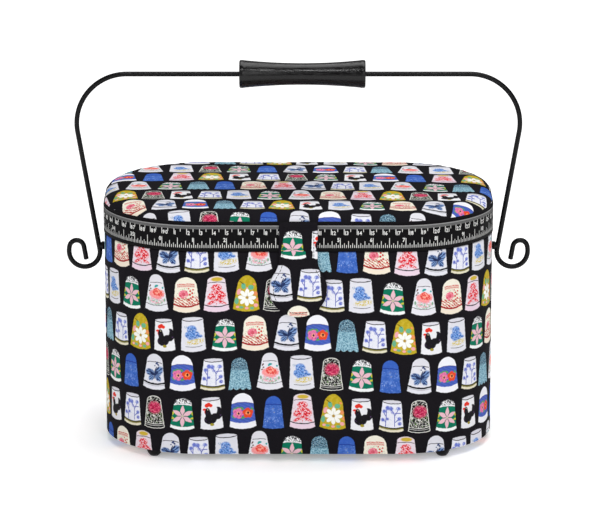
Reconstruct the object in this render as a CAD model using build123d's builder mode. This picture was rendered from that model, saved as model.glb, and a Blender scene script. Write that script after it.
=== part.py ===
from build123d import *
import os
from math import cos, radians, sin, tan

# Oval sewing box covered in printed cotton: a board body on four feet, a padded lid on two butt
# hinges, a wire bail with a turned grip, a magnetic closure tab, and two lift-out trays.
# Millimetres, +Z up, +X to the right, front towards -Y. Origin on the floor under the centre.

# ---- Driving dimensions ----------------------------------------------------------------------
# Outline and heights
box_length = 308.0
box_depth = 195.0
corner_radius = 78.0
foot_height = 6.5
body_height = 163.5
seam_gap = 0.3
lid_board_rise = 18.0
pad_height = 9.2
shoulder_radius = 9.0

# Wall layers
cover_cloth = 0.8
board = 3.0
lining_cloth = 0.6
base_cloth = 0.6
turn_under = 12.0
floor_panel_thickness = 3.0
fit_gap = 0.2

# Feet
foot_radius = 6.5
foot_flat_radius = 3.0
foot_inset = 9.0
foot_angle = 57.0
foot_shank_radius = 1.5
foot_washer_radius = 3.2
foot_washer_thickness = 0.8
foot_shank_end = 0.4

# Tray ledge and trays
ledge_width = 7.0
ledge_above_pivot = 9.5
ledge_below_pivot = 11.0
tray_clearance = 0.8
tray_lip_inset = 5.6
tray_lip_thickness = 1.5
tray_depth = 38.0
tray_wall = 1.4
tray_split = 2.4
tray_divider_reach = 74.0
finger_tab_width = 28.0
finger_tab_height = 4.0
finger_tab_round = 3.0

# Bail handle
pivot_below_rim = 18.3
wire_radius = 2.0
leg_splay = 9.7
bail_rise = 139.5
shoulder_bend = 40.0
stud_radius = 2.5
stud_reach = 2.6
stud_tail = 1.0
running_gap = 0.05
thread_gap = 0.02
leg_below_stud = 3.2
scroll_radius = 12.3
scroll_side_radius = 16.0
scroll_side_turn = 30.0
scroll_top_radius = 5.8
scroll_end_slope = 10.0
scroll_end_length = 10.5
nut_across_flats = 8.0
nut_thickness = 4.0
nut_play = 0.2
eyelet_flange_radius = 5.5
eyelet_flange_thickness = 0.9
eyelet_wall = 0.85
pivot_washer_radius = 7.0
pivot_washer_thickness = 1.0
pivot_pocket_radius = 8.0

# Grip
grip_length = 100.0
grip_offset = 3.2
grip_end_radius = 11.15
grip_waist_radius = 8.8
grip_land = 4.0
grip_edge_round = 1.2

# Hinges
hinge_width = 30.0
hinge_edge_margin = 6.0
leaf_thickness = 1.2
leaf_gap = 2.9
body_leaf_height = 9.2
lid_leaf_height = 11.2
knuckle_radius = 2.5
knuckle_gap = 0.3
centre_knuckle = 10.0
pin_radius = 1.2
pin_head_radius = 1.9
pin_head_thickness = 0.7
rivet_spacing = 18.0
rivet_radius = 1.1
rivet_head_radius = 2.2
rivet_head_thickness = 0.8
body_rivet_drop = 5.8
lid_rivet_rise = 8.5

# Lid trims and fittings
tape_thickness = 0.5
tape_height = 19.6
tape_lift = 0.2
piping_gap = 0.5
piping_height = 3.8
piping_proud = 0.3
pincushion_length = 120.0
pincushion_thickness = 11.0
pincushion_round = 7.0
pincushion_front_margin = 15.0
pincushion_to_pocket = 14.0
pocket_mouth_y = -8.0
pocket_drop = 7.0
pocket_cloth = 1.2
pocket_edge_inset = 1.6
elastic_width = 6.0
elastic_thickness = 0.8
elastic_end_margin = 8.0

# Closure tab and magnets
tab_neck_width = 30.0
tab_bulb_radius = 22.4
tab_neck_round = 20.0
tab_length = 75.7
tab_core_thickness = 1.4
tab_stand_off = 0.4
magnet_radius = 6.0
magnet_thickness = 1.4
magnet_above_tip = 15.0

# ---- Derived places --------------------------------------------------------------------------
half_length = box_length / 2
half_depth = box_depth / 2
body_bottom = foot_height
rim_z = body_bottom + body_height
board_outer = cover_cloth
board_inner = board_outer + board
lining_inner = board_inner + lining_cloth
ledge_inner = lining_inner + ledge_width
base_board_bottom = body_bottom + cover_cloth
base_board_top = base_board_bottom + board
floor_top = base_board_top + floor_panel_thickness

lid_bottom = rim_z + seam_gap
lid_board_bottom = lid_bottom + lid_board_rise
lid_board_top = lid_board_bottom + board
lid_ceiling = lid_board_bottom - lining_cloth
pad_top = lid_board_top + pad_height
lid_top = pad_top + cover_cloth
tape_bottom = lid_bottom + tape_lift
tape_top = tape_bottom + tape_height
piping_bottom = tape_top + piping_gap
piping_top = piping_bottom + piping_height

pivot_z = rim_z - pivot_below_rim
ledge_top = pivot_z + ledge_above_pivot
ledge_bottom = pivot_z - ledge_below_pivot
tray_wall_inset = ledge_inner + tray_clearance
tray_lip_bottom = ledge_top + fit_gap
tray_top = tray_lip_bottom + tray_lip_thickness
tray_bottom = tray_top - tray_depth

wire_x = half_length + eyelet_flange_thickness + stud_reach + wire_radius
eyelet_radius = stud_radius + running_gap
barrel_radius = eyelet_radius + eyelet_wall
washer_inner_x = half_length - lining_inner - pivot_washer_thickness
nut_outer_x = washer_inner_x - nut_play
nut_inner_x = nut_outer_x - nut_thickness
bar_z = pivot_z + bail_rise

hinge_x = half_length - corner_radius - hinge_edge_margin - hinge_width / 2
hinge_y = half_depth + tape_thickness + knuckle_radius + fit_gap
hinge_z = rim_z + seam_gap / 2
rivet_places = [x + side * rivet_spacing / 2 for x in (-hinge_x, hinge_x) for side in (-1, 1)]
body_rivet_z = hinge_z - body_rivet_drop
lid_rivet_z = hinge_z + lid_rivet_rise
body_leaf_y = half_depth
lid_leaf_y = half_depth + tape_thickness

tab_back_y = half_depth + tape_thickness + tab_stand_off
tab_top = piping_top - fit_gap
tab_hem_radius = (tab_core_thickness + cover_cloth) / 2
tab_bulb_z = tab_top - tab_length + tab_bulb_radius
magnet_z = tab_top - tab_length + magnet_above_tip

foot_x = half_length - corner_radius + (corner_radius - foot_inset) * cos(radians(foot_angle))
foot_y = half_depth - corner_radius + (corner_radius - foot_inset) * sin(radians(foot_angle))

front_plane = Plane.XZ
back_plane = Plane(origin=(0, 0, 0), x_dir=(-1, 0, 0), z_dir=(0, 1, 0))

os.makedirs("parts", exist_ok=True)


# ---- Shared shapes ---------------------------------------------------------------------------
def outline(inset, mode=Mode.ADD):
    """The box's rounded outline, drawn an inset inside the cover's outer face."""
    RectangleRounded(
        box_length - 2 * inset, box_depth - 2 * inset, corner_radius - inset, mode=mode
    )


def slab(inset, bottom, top, mode=Mode.ADD):
    """A plate of the outline's shape between two heights."""
    with BuildSketch(Plane.XY.offset(bottom)) as profile:
        outline(inset)
    extrude(profile.sketch, amount=top - bottom, mode=mode)


def ring(outer_inset, inner_inset, bottom, top, mode=Mode.ADD):
    """A wall that follows the outline, between two insets and two heights."""
    with BuildSketch(Plane.XY.offset(bottom)) as profile:
        outline(outer_inset)
        outline(inner_inset, mode=Mode.SUBTRACT)
    extrude(profile.sketch, amount=top - bottom, mode=mode)


def bore_ends(radius):
    """A hole through both end walls, on the bail's pivot axis."""
    with BuildSketch(Plane.YZ) as profile:
        with Locations((0, pivot_z)):
            Circle(radius)
    extrude(profile.sketch, amount=box_length, both=True, mode=Mode.SUBTRACT)


def bore_back(radius, z):
    """The hinge rivets' holes, through the back wall only."""
    with BuildSketch(back_plane) as profile:
        with Locations(*[(x, z) for x in rivet_places]):
            Circle(radius)
    extrude(profile.sketch, amount=box_depth, mode=Mode.SUBTRACT)


def feet_places():
    """The four feet's centres, on the floor's plane."""
    return GridLocations(2 * foot_x, 2 * foot_y, 2, 2)


def save(builder, node):
    """Label a finished piece and write it to its own file."""
    builder.part.label = node
    export_step(builder.part, f"parts/{node}.step")


# ---- Box body --------------------------------------------------------------------------------
with BuildPart() as side_board:
    ring(board_outer, board_inner, base_board_bottom, rim_z - cover_cloth)
    bore_ends(barrel_radius)
    bore_back(rivet_radius, body_rivet_z)
    with BuildSketch(front_plane.offset(half_depth - board_outer - magnet_thickness)):
        with Locations((0, magnet_z)):
            Circle(magnet_radius)
    extrude(amount=magnet_thickness, mode=Mode.SUBTRACT)
save(side_board, "side_board")

with BuildPart() as base_board:
    slab(board_inner, base_board_bottom, base_board_top)
    with BuildSketch(Plane.XY.offset(base_board_bottom)):
        with feet_places():
            Circle(foot_shank_radius)
    extrude(amount=board, mode=Mode.SUBTRACT)
save(base_board, "base_board")

with BuildPart() as body_cover:
    ring(0, cover_cloth, body_bottom, rim_z)
    ring(0, turn_under, body_bottom, body_bottom + cover_cloth)
    ring(0, board_inner, rim_z - cover_cloth, rim_z)
    bore_ends(barrel_radius)
    bore_back(rivet_radius, body_rivet_z)
    with BuildSketch(Plane.XY.offset(body_bottom)):
        with feet_places():
            Circle(foot_shank_radius)
    extrude(amount=cover_cloth, mode=Mode.SUBTRACT)
save(body_cover, "body_cover")

with BuildPart() as base_cover:
    slab(turn_under + fit_gap, base_board_bottom - base_cloth, base_board_bottom)
save(base_cover, "base_cover")

with BuildPart() as body_lining:
    ring(board_inner, lining_inner, base_board_top, rim_z)
    bore_ends(barrel_radius)
    bore_back(rivet_radius, body_rivet_z)
save(body_lining, "body_lining")

with BuildPart() as floor_panel:
    slab(lining_inner + fit_gap, base_board_top, floor_top)
    with BuildSketch(Plane.XY.offset(base_board_top)):
        with feet_places():
            Circle(foot_washer_radius + fit_gap)
    extrude(amount=foot_washer_thickness + foot_shank_end + fit_gap, mode=Mode.SUBTRACT)
save(floor_panel, "floor_panel")

with BuildPart() as tray_ledge:
    ring(lining_inner, ledge_inner, ledge_bottom, ledge_top)
    bore_ends(pivot_pocket_radius)
save(tray_ledge, "tray_ledge")

with BuildPart() as body_magnet:
    with BuildSketch(front_plane.offset(half_depth - board_outer - magnet_thickness)):
        with Locations((0, magnet_z)):
            Circle(magnet_radius)
    extrude(amount=magnet_thickness)
save(body_magnet, "body_magnet")


# ---- Feet ------------------------------------------------------------------------------------
def build_foot(x, y, node):
    """A domed foot with a flat tip and a shank that is peened over its washer."""
    with BuildPart() as foot:
        with BuildSketch(Plane(origin=(x, y, 0), x_dir=(1, 0, 0), z_dir=(0, -1, 0))):
            with BuildLine():
                tip = Line((0, 0), (foot_flat_radius, 0))
                dome = ThreePointArc(
                    tip @ 1,
                    (foot_radius * cos(radians(38)), foot_height * (1 - sin(radians(38)))),
                    (foot_radius, foot_height),
                )
                Polyline(
                    dome @ 1,
                    (foot_shank_radius, foot_height),
                    (foot_shank_radius, base_board_top + foot_washer_thickness + foot_shank_end),
                    (0, base_board_top + foot_washer_thickness + foot_shank_end),
                    (0, 0),
                )
            make_face()
        revolve(axis=Axis((x, y, 0), (0, 0, 1)))
    save(foot, node)


for end, sign_x in (("left", -1), ("right", 1)):
    for side, sign_y in (("front", -1), ("back", 1)):
        build_foot(sign_x * foot_x, sign_y * foot_y, f"foot_{side}_{end}")

with BuildPart() as foot_washers:
    with BuildSketch(Plane.XY.offset(base_board_top)):
        with feet_places():
            Circle(foot_washer_radius)
            Circle(foot_shank_radius, mode=Mode.SUBTRACT)
    extrude(amount=foot_washer_thickness)
save(foot_washers, "foot_washers")


# ---- Bail handle -----------------------------------------------------------------------------
leg_slope = Vector(sin(radians(leg_splay)), 0, cos(radians(leg_splay)))
bend_turn = 90 + leg_splay
bend_start_x = (
    wire_x + bail_rise * tan(radians(leg_splay)) - shoulder_bend * tan(radians(bend_turn / 2))
)
scroll_start = Vector(wire_x, 0, pivot_z) - leg_slope * leg_below_stud
scroll_turn = 180 + leg_splay - scroll_side_turn / 2
scroll_top_turn = 180 - scroll_side_turn / 2 - scroll_end_slope

with BuildPart() as handle_wire:
    with BuildLine(Plane.XZ) as bail_path:
        bar = Line((0, bar_z), (bend_start_x, bar_z))
        bend = JernArc(bar @ 1, bar % 1, shoulder_bend, -bend_turn)
        leg = Line(bend @ 1, scroll_start)
        scroll = JernArc(leg @ 1, leg % 1, scroll_radius, scroll_turn)
        side_arc = JernArc(scroll @ 1, scroll % 1, scroll_side_radius, scroll_side_turn)
        top_arc = JernArc(side_arc @ 1, side_arc % 1, scroll_top_radius, scroll_top_turn)
        Line(top_arc @ 1, (top_arc @ 1) + (top_arc % 1) * scroll_end_length)
        mirror(about=Plane.YZ)
    with BuildSketch(Plane(origin=bail_path.wire() @ 0, z_dir=bail_path.wire() % 0)):
        Circle(wire_radius)
    sweep(path=bail_path.wire())
    for end_plane in (Plane.YZ.offset(wire_x), Plane.YZ.offset(-wire_x)):
        with BuildSketch(end_plane):
            with Locations((0, pivot_z)):
                Circle(stud_radius)
        inward = -1 if end_plane.origin.X > 0 else 1
        extrude(amount=inward * (wire_x - nut_inner_x + stud_tail))
save(handle_wire, "handle_wire")

with BuildPart() as handle_grip:
    with BuildSketch(Plane(origin=(grip_offset, 0, bar_z), x_dir=(1, 0, 0), z_dir=(0, -1, 0))):
        with BuildLine():
            half = grip_length / 2
            waist_end = half - grip_land
            left = Polyline(
                (-waist_end, grip_end_radius),
                (-half, grip_end_radius),
                (-half, wire_radius + running_gap),
                (half, wire_radius + running_gap),
                (half, grip_end_radius),
                (waist_end, grip_end_radius),
            )
            ThreePointArc(left @ 1, (0, grip_waist_radius), left @ 0)
        make_face()
    revolve(axis=Axis((grip_offset, 0, bar_z), (1, 0, 0)))
    rims = handle_grip.edges().filter_by(GeomType.CIRCLE).filter_by(
        lambda edge: edge.radius > grip_end_radius - running_gap
    )
    fillet(rims.sort_by(Axis.X)[0], grip_edge_round)
    rims = handle_grip.edges().filter_by(GeomType.CIRCLE).filter_by(
        lambda edge: edge.radius > grip_end_radius - running_gap
    )
    fillet(rims.sort_by(Axis.X)[-1], grip_edge_round)
save(handle_grip, "handle_grip")


def build_pivot(end, sign):
    """One end's eyelet and washer, which stay in the wall, and the bail's nut."""
    outward = Plane(origin=(0, 0, pivot_z), x_dir=(0, sign, 0), z_dir=(sign, 0, 0))
    with BuildPart() as eyelet:
        with BuildSketch(outward.offset(washer_inner_x)):
            Circle(barrel_radius)
        extrude(amount=half_length - washer_inner_x)
        with BuildSketch(outward.offset(half_length)):
            Circle(eyelet_flange_radius)
        extrude(amount=eyelet_flange_thickness)
        with BuildSketch(outward.offset(washer_inner_x)):
            Circle(eyelet_radius)
        extrude(amount=box_length, mode=Mode.SUBTRACT)
    save(eyelet, f"pivot_eyelet_{end}")

    with BuildPart() as washer:
        with BuildSketch(outward.offset(washer_inner_x)):
            Circle(pivot_washer_radius)
            Circle(barrel_radius, mode=Mode.SUBTRACT)
        extrude(amount=pivot_washer_thickness)
    save(washer, f"pivot_washer_{end}")

    with BuildPart() as nut:
        with BuildSketch(outward.offset(nut_inner_x)):
            RegularPolygon(nut_across_flats / 2, 6, major_radius=False)
            Circle(stud_radius + thread_gap, mode=Mode.SUBTRACT)
        extrude(amount=nut_thickness)
    save(nut, f"pivot_nut_{end}")


build_pivot("left", -1)
build_pivot("right", 1)


# ---- Hinges ----------------------------------------------------------------------------------
def knuckle(x, width, leaf_y, towards, bore_radius):
    """A barrel on the hinge line, with the tongue of leaf that carries it."""
    with BuildSketch(Plane.YZ.offset(x - width / 2)) as profile:
        with Locations((hinge_y, hinge_z)):
            Circle(knuckle_radius)
        with Locations((leaf_y + leaf_thickness / 2, hinge_z + towards * leaf_gap / 2)):
            Rectangle(leaf_thickness, leaf_gap)
        with Locations((hinge_y, hinge_z)):
            Circle(bore_radius, mode=Mode.SUBTRACT)
    extrude(profile.sketch, amount=width)


def build_leaf(x, knuckles, leaf_y, towards, height, rivet_z, bore_radius, node):
    """A flat leaf with its knuckles; towards is -1 for the body's leaf and 1 for the lid's."""
    with BuildPart() as leaf:
        with BuildSketch(Plane.XZ.offset(-leaf_y)):
            with Locations((x, hinge_z + towards * (leaf_gap + height / 2))):
                Rectangle(hinge_width, height)
            with Locations(*[(x + side * rivet_spacing / 2, rivet_z) for side in (-1, 1)]):
                Circle(rivet_radius, mode=Mode.SUBTRACT)
        extrude(amount=-leaf_thickness)
        for place, width in knuckles:
            knuckle(x + place, width, leaf_y, towards, bore_radius)
    save(leaf, node)


def build_hinge(end, x):
    """Body leaf with two knuckles, lid leaf with one between them, and the pin."""
    outer_width = (hinge_width - centre_knuckle) / 2 - knuckle_gap
    outer_place = (hinge_width - outer_width) / 2
    outer_knuckles = [(-outer_place, outer_width), (outer_place, outer_width)]
    build_leaf(
        x, outer_knuckles, body_leaf_y, -1, body_leaf_height, body_rivet_z,
        pin_radius + thread_gap, f"hinge_body_leaf_{end}",
    )
    build_leaf(
        x, [(0, centre_knuckle)], lid_leaf_y, 1, lid_leaf_height, lid_rivet_z,
        pin_radius + running_gap, f"hinge_lid_leaf_{end}",
    )
    pin_length = hinge_width + 2 * fit_gap
    with BuildPart() as pin:
        with BuildSketch(Plane.YZ.offset(x - pin_length / 2)):
            with Locations((hinge_y, hinge_z)):
                Circle(pin_radius)
        extrude(amount=pin_length)
        for start, reach in ((-pin_length / 2, -pin_head_thickness), (pin_length / 2, pin_head_thickness)):
            with BuildSketch(Plane.YZ.offset(x + start)):
                with Locations((hinge_y, hinge_z)):
                    Circle(pin_head_radius)
            extrude(amount=reach)
    save(pin, f"hinge_pin_{end}")


def build_rivets(leaf_y, z, node):
    """Four rivets: a tapered outer head, a shank through the wall and a flat inner head."""
    centres = [(x, z) for x in rivet_places]
    head_y = leaf_y + leaf_thickness
    inner_y = half_depth - lining_inner
    with BuildPart() as rivets:
        with BuildSketch(back_plane.offset(inner_y)):
            with Locations(*centres):
                Circle(rivet_radius)
        extrude(amount=head_y - inner_y)
        with BuildSketch(back_plane.offset(head_y)):
            with Locations(*centres):
                Circle(rivet_head_radius)
        extrude(amount=rivet_head_thickness, taper=35)
        with BuildSketch(back_plane.offset(inner_y - rivet_head_thickness)):
            with Locations(*centres):
                Circle(rivet_head_radius)
        extrude(amount=rivet_head_thickness)
    save(rivets, node)


build_hinge("left", -hinge_x)
build_hinge("right", hinge_x)
build_rivets(body_leaf_y, body_rivet_z, "hinge_body_rivets")
build_rivets(lid_leaf_y, lid_rivet_z, "hinge_lid_rivets")

# ---- Lid -------------------------------------------------------------------------------------
with BuildPart() as lid_rim_board:
    ring(board_outer, board_inner, lid_bottom + cover_cloth, lid_board_bottom)
    bore_back(rivet_radius, lid_rivet_z)
save(lid_rim_board, "lid_rim_board")

with BuildPart() as lid_top_board:
    slab(board_outer, lid_board_bottom, lid_board_top)
save(lid_top_board, "lid_top_board")

with BuildPart() as lid_pad:
    slab(board_outer, lid_board_top, pad_top)
    fillet(lid_pad.faces().sort_by(Axis.Z)[-1].edges(), shoulder_radius - cover_cloth)
save(lid_pad, "lid_pad")

with BuildPart() as lid_top_cover:
    slab(0, lid_board_top, lid_top)
    fillet(lid_top_cover.faces().sort_by(Axis.Z)[-1].edges(), shoulder_radius)
    add(lid_pad.part, mode=Mode.SUBTRACT)
    slab(-piping_proud, lid_board_top, piping_top + fit_gap, mode=Mode.SUBTRACT)
save(lid_top_cover, "lid_top_cover")

with BuildPart() as lid_side_cover:
    ring(0, board_outer, lid_bottom, piping_bottom - fit_gap)
    ring(0, board_inner, lid_bottom, lid_bottom + cover_cloth)
    bore_back(rivet_radius, lid_rivet_z)
save(lid_side_cover, "lid_side_cover")

with BuildPart() as lid_piping:
    slab(-piping_proud, piping_bottom, piping_top)
    flat_faces = lid_piping.faces().filter_by(Axis.Z)
    fillet(flat_faces.edges(), (cover_cloth + piping_proud) * 0.9)
    slab(board_outer, piping_bottom, piping_top, mode=Mode.SUBTRACT)
save(lid_piping, "lid_piping")

with BuildPart() as tape_trim:
    ring(-tape_thickness, 0, tape_bottom, tape_top)
    bore_back(rivet_radius, lid_rivet_z)
save(tape_trim, "tape_trim")

with BuildPart() as lid_lining:
    slab(board_inner, lid_ceiling, lid_board_bottom)
    ring(board_inner, lining_inner, lid_bottom, lid_ceiling)
    bore_back(rivet_radius, lid_rivet_z)
save(lid_lining, "lid_lining")

with BuildPart() as pincushion:
    cushion_back_y = pocket_mouth_y - pincushion_to_pocket
    cushion_front_y = -(half_depth - lining_inner - pincushion_front_margin)
    with BuildSketch(Plane.XY.offset(lid_ceiling)):
        with Locations((0, (cushion_back_y + cushion_front_y) / 2)):
            RectangleRounded(pincushion_length, cushion_back_y - cushion_front_y, 2 * pincushion_round)
    extrude(amount=-pincushion_thickness)
    fillet(pincushion.faces().sort_by(Axis.Z)[0].edges(), pincushion_round)
save(pincushion, "pincushion")


def pocket_outline(inset, mouth_y):
    """The back part of the lid's hollow, from the pocket's mouth to its back seam."""
    outline(lining_inner + pocket_edge_inset + inset)
    with Locations((0, mouth_y + half_depth)):
        Rectangle(box_length, box_depth, mode=Mode.INTERSECT)


with BuildPart() as lid_pocket:
    with BuildSketch(Plane.XY.offset(lid_ceiling - pocket_drop)):
        pocket_outline(0, pocket_mouth_y)
    extrude(amount=pocket_drop)
    with BuildSketch(Plane.XY.offset(lid_ceiling - pocket_drop + pocket_cloth)):
        pocket_outline(pocket_cloth, pocket_mouth_y - fit_gap)
    extrude(amount=pocket_drop, mode=Mode.SUBTRACT)
save(lid_pocket, "lid_pocket")

with BuildPart() as pocket_elastic:
    elastic_length = box_length - 2 * (lining_inner + pocket_edge_inset + elastic_end_margin)
    with BuildSketch(Plane.XY.offset(lid_ceiling - pocket_drop - elastic_thickness)):
        with Locations((0, pocket_mouth_y + elastic_width / 2)):
            Rectangle(elastic_length, elastic_width)
    extrude(amount=elastic_thickness)
save(pocket_elastic, "pocket_elastic")


# ---- Closure tab -----------------------------------------------------------------------------
def tab_sketch(top):
    """A straight neck that ends at a height and swells into a round tip below."""
    with Locations((0, tab_bulb_z)):
        Circle(tab_bulb_radius)
    with Locations((0, (top + tab_bulb_z) / 2)):
        Rectangle(tab_neck_width, top - tab_bulb_z)


with BuildPart() as tab_core:
    with BuildSketch(front_plane.offset(tab_back_y)) as core_sketch:
        tab_sketch(tab_top - tab_hem_radius)
        fillet(core_sketch.vertices().sort_by(Axis.Y)[-4:-2], tab_neck_round)
        with Locations((0, magnet_z)):
            Circle(magnet_radius, mode=Mode.SUBTRACT)
    extrude(amount=tab_core_thickness)
    with BuildSketch(Plane.YZ.offset(-tab_neck_width / 2)):
        with Locations((-tab_back_y - tab_hem_radius, tab_top - tab_hem_radius)):
            Circle(tab_hem_radius)
    extrude(amount=tab_neck_width)
save(tab_core, "tab_core")

with BuildPart() as tab_cover:
    with BuildSketch(front_plane.offset(tab_back_y + tab_core_thickness)) as cover_sketch:
        tab_sketch(tab_top - 2 * tab_hem_radius)
        fillet(cover_sketch.vertices().sort_by(Axis.Y)[-4:-2], tab_neck_round)
    extrude(amount=cover_cloth)
save(tab_cover, "tab_cover")

with BuildPart() as tab_magnet:
    with BuildSketch(front_plane.offset(tab_back_y + tab_core_thickness - magnet_thickness)):
        with Locations((0, magnet_z)):
            Circle(magnet_radius)
    extrude(amount=magnet_thickness)
save(tab_magnet, "tab_magnet")


# ---- Trays -----------------------------------------------------------------------------------
def tray_outline(sign, inset, first_x, last_x, first_y, last_y):
    """The outline at an inset, kept between two distances from the middle and two Y lines."""
    outline(inset)
    with Locations((sign * (first_x + last_x) / 2, (first_y + last_y) / 2)):
        Rectangle(last_x - first_x, last_y - first_y, mode=Mode.INTERSECT)


def build_tray(sign, cells, node):
    """A half-oval tray hung by its lip, with one pocket per cell and a finger tab."""
    inner_x = tray_split / 2
    with BuildPart() as tray:
        with BuildSketch(Plane.XY.offset(tray_bottom)):
            tray_outline(sign, tray_wall_inset, inner_x, half_length, -half_depth, half_depth)
        extrude(amount=tray_depth)
        with BuildSketch(Plane.XY.offset(tray_lip_bottom)):
            tray_outline(sign, tray_lip_inset, inner_x, half_length, -half_depth, half_depth)
        extrude(amount=tray_lip_thickness)
        for cell in cells:
            with BuildSketch(Plane.XY.offset(tray_bottom + tray_wall)):
                tray_outline(sign, tray_wall_inset + tray_wall, *cell)
            extrude(amount=tray_depth, mode=Mode.SUBTRACT)
        with BuildSketch(Plane.YZ.offset(sign * inner_x)) as tab_face:
            with Locations((0, tray_top + finger_tab_height / 2 - tray_wall / 2)):
                Rectangle(finger_tab_width, finger_tab_height + tray_wall)
            fillet(tab_face.vertices().sort_by(Axis.Y)[-2:], finger_tab_round)
        extrude(amount=sign * tray_wall)
    save(tray, node)


first_cell = tray_split / 2 + tray_wall
half_wall = tray_wall / 2
left_cells = [
    (first_cell, half_length, half_wall, half_depth),
    (first_cell, tray_divider_reach - half_wall, -half_depth, -half_wall),
    (tray_divider_reach + half_wall, half_length, -half_depth, -half_wall),
]
right_cells = [
    (tray_divider_reach + half_wall, half_length, -half_depth, half_depth),
    (first_cell, tray_divider_reach - half_wall, half_wall, half_depth),
    (first_cell, tray_divider_reach - half_wall, -half_depth, -half_wall),
]
build_tray(-1, left_cells, "tray_left")
build_tray(1, right_cells, "tray_right")
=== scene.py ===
import math

import bmesh
import bpy
import numpy as np
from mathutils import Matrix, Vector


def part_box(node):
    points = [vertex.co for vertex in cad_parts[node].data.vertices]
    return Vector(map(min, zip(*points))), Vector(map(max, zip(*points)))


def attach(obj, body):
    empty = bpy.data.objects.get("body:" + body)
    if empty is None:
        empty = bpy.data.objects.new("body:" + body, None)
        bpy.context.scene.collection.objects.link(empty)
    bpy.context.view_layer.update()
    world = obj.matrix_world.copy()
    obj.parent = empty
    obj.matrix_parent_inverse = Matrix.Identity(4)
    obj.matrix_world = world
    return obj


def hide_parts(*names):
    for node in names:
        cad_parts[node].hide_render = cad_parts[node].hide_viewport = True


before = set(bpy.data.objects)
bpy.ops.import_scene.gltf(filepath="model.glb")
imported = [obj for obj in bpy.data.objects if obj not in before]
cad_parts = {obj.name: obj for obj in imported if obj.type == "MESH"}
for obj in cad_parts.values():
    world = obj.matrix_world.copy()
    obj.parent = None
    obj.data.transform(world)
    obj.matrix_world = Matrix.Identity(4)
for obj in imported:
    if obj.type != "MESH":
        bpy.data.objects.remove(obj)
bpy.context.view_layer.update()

# ---- Sizes, in millimetres: most read from the imported pieces, a few given --------------------
MM = 0.001


def reach(node):
    """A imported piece's lowest and highest corners, in millimetres."""
    low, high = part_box(node)
    return np.array(low) / MM, np.array(high) / MM


(_, _, BODY_BOTTOM), (HALF_LENGTH, HALF_DEPTH, RIM) = reach("body_cover")
(_, _, TAPE_BOTTOM), (_, _, TAPE_TOP) = reach("tape_trim")
PIPING_TOP = reach("lid_piping")[1][2]
LID_TOP = reach("lid_top_cover")[1][2]
(_, _, LID_BOTTOM), (_, _, LID_CEILING) = reach("lid_lining")
(_, _, BOARD_TOP), (_, _, FLOOR_TOP) = reach("floor_panel")
CORNER = 78.0
SHOULDER = 9.0
CLOTH = 0.8
# How far the linings' faces lie inside the box's outline, and its bare rim board.
LINING = 4.4
BOARD_EDGE = 3.85


# ---- Finishes --------------------------------------------------------------------------------
def dye(red, green, blue):
    """A colour as a node wants it, from the 0 to 255 numbers of a paint chart."""
    def linear(part):
        part = part / 255
        return part / 12.92 if part <= 0.04045 else ((part + 0.055) / 1.055) ** 2.4

    return linear(red), linear(green), linear(blue), 1.0


def darker(colour, share):
    """A colour with only a share of its light."""
    return tuple(part * share for part in colour[:3]) + (1.0,)


class Number:
    """A number that a finish's nodes pass on; arithmetic on it adds Math nodes."""

    def __init__(self, finish, socket):
        self.finish, self.socket = finish, socket

    def maths(self, operation, *others, held=False):
        settings = {"operation": operation, "use_clamp": held}
        return Number(self.finish, self.finish.add("Math", settings, (self,) + others).outputs[0])

    def __add__(self, other):
        return self.maths("ADD", other)

    __radd__ = __add__

    def __mul__(self, other):
        return self.maths("MULTIPLY", other)

    __rmul__ = __mul__

    def __sub__(self, other):
        return self.maths("SUBTRACT", other)

    def __rsub__(self, other):
        return (self * -1).maths("ADD", other)

    def __truediv__(self, other):
        return self.maths("DIVIDE", other)

    def __pow__(self, other):
        return self.maths("POWER", other)

    def __abs__(self):
        return self.maths("ABSOLUTE")

    def sine(self):
        return self.maths("SINE")

    def most(self, other):
        return self.maths("MAXIMUM", other)

    def within(self, limit, blur):
        """1 well below a limit and 0 well above it, with an edge as soft as blur."""
        return self.maths("MULTIPLY_ADD", -0.5 / blur, 0.5 + 0.5 * limit / blur, held=True)

    def beyond(self, limit, blur):
        """0 well below a limit and 1 well above it, with an edge as soft as blur."""
        return self.maths("MULTIPLY_ADD", 0.5 / blur, 0.5 - 0.5 * limit / blur, held=True)


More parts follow.
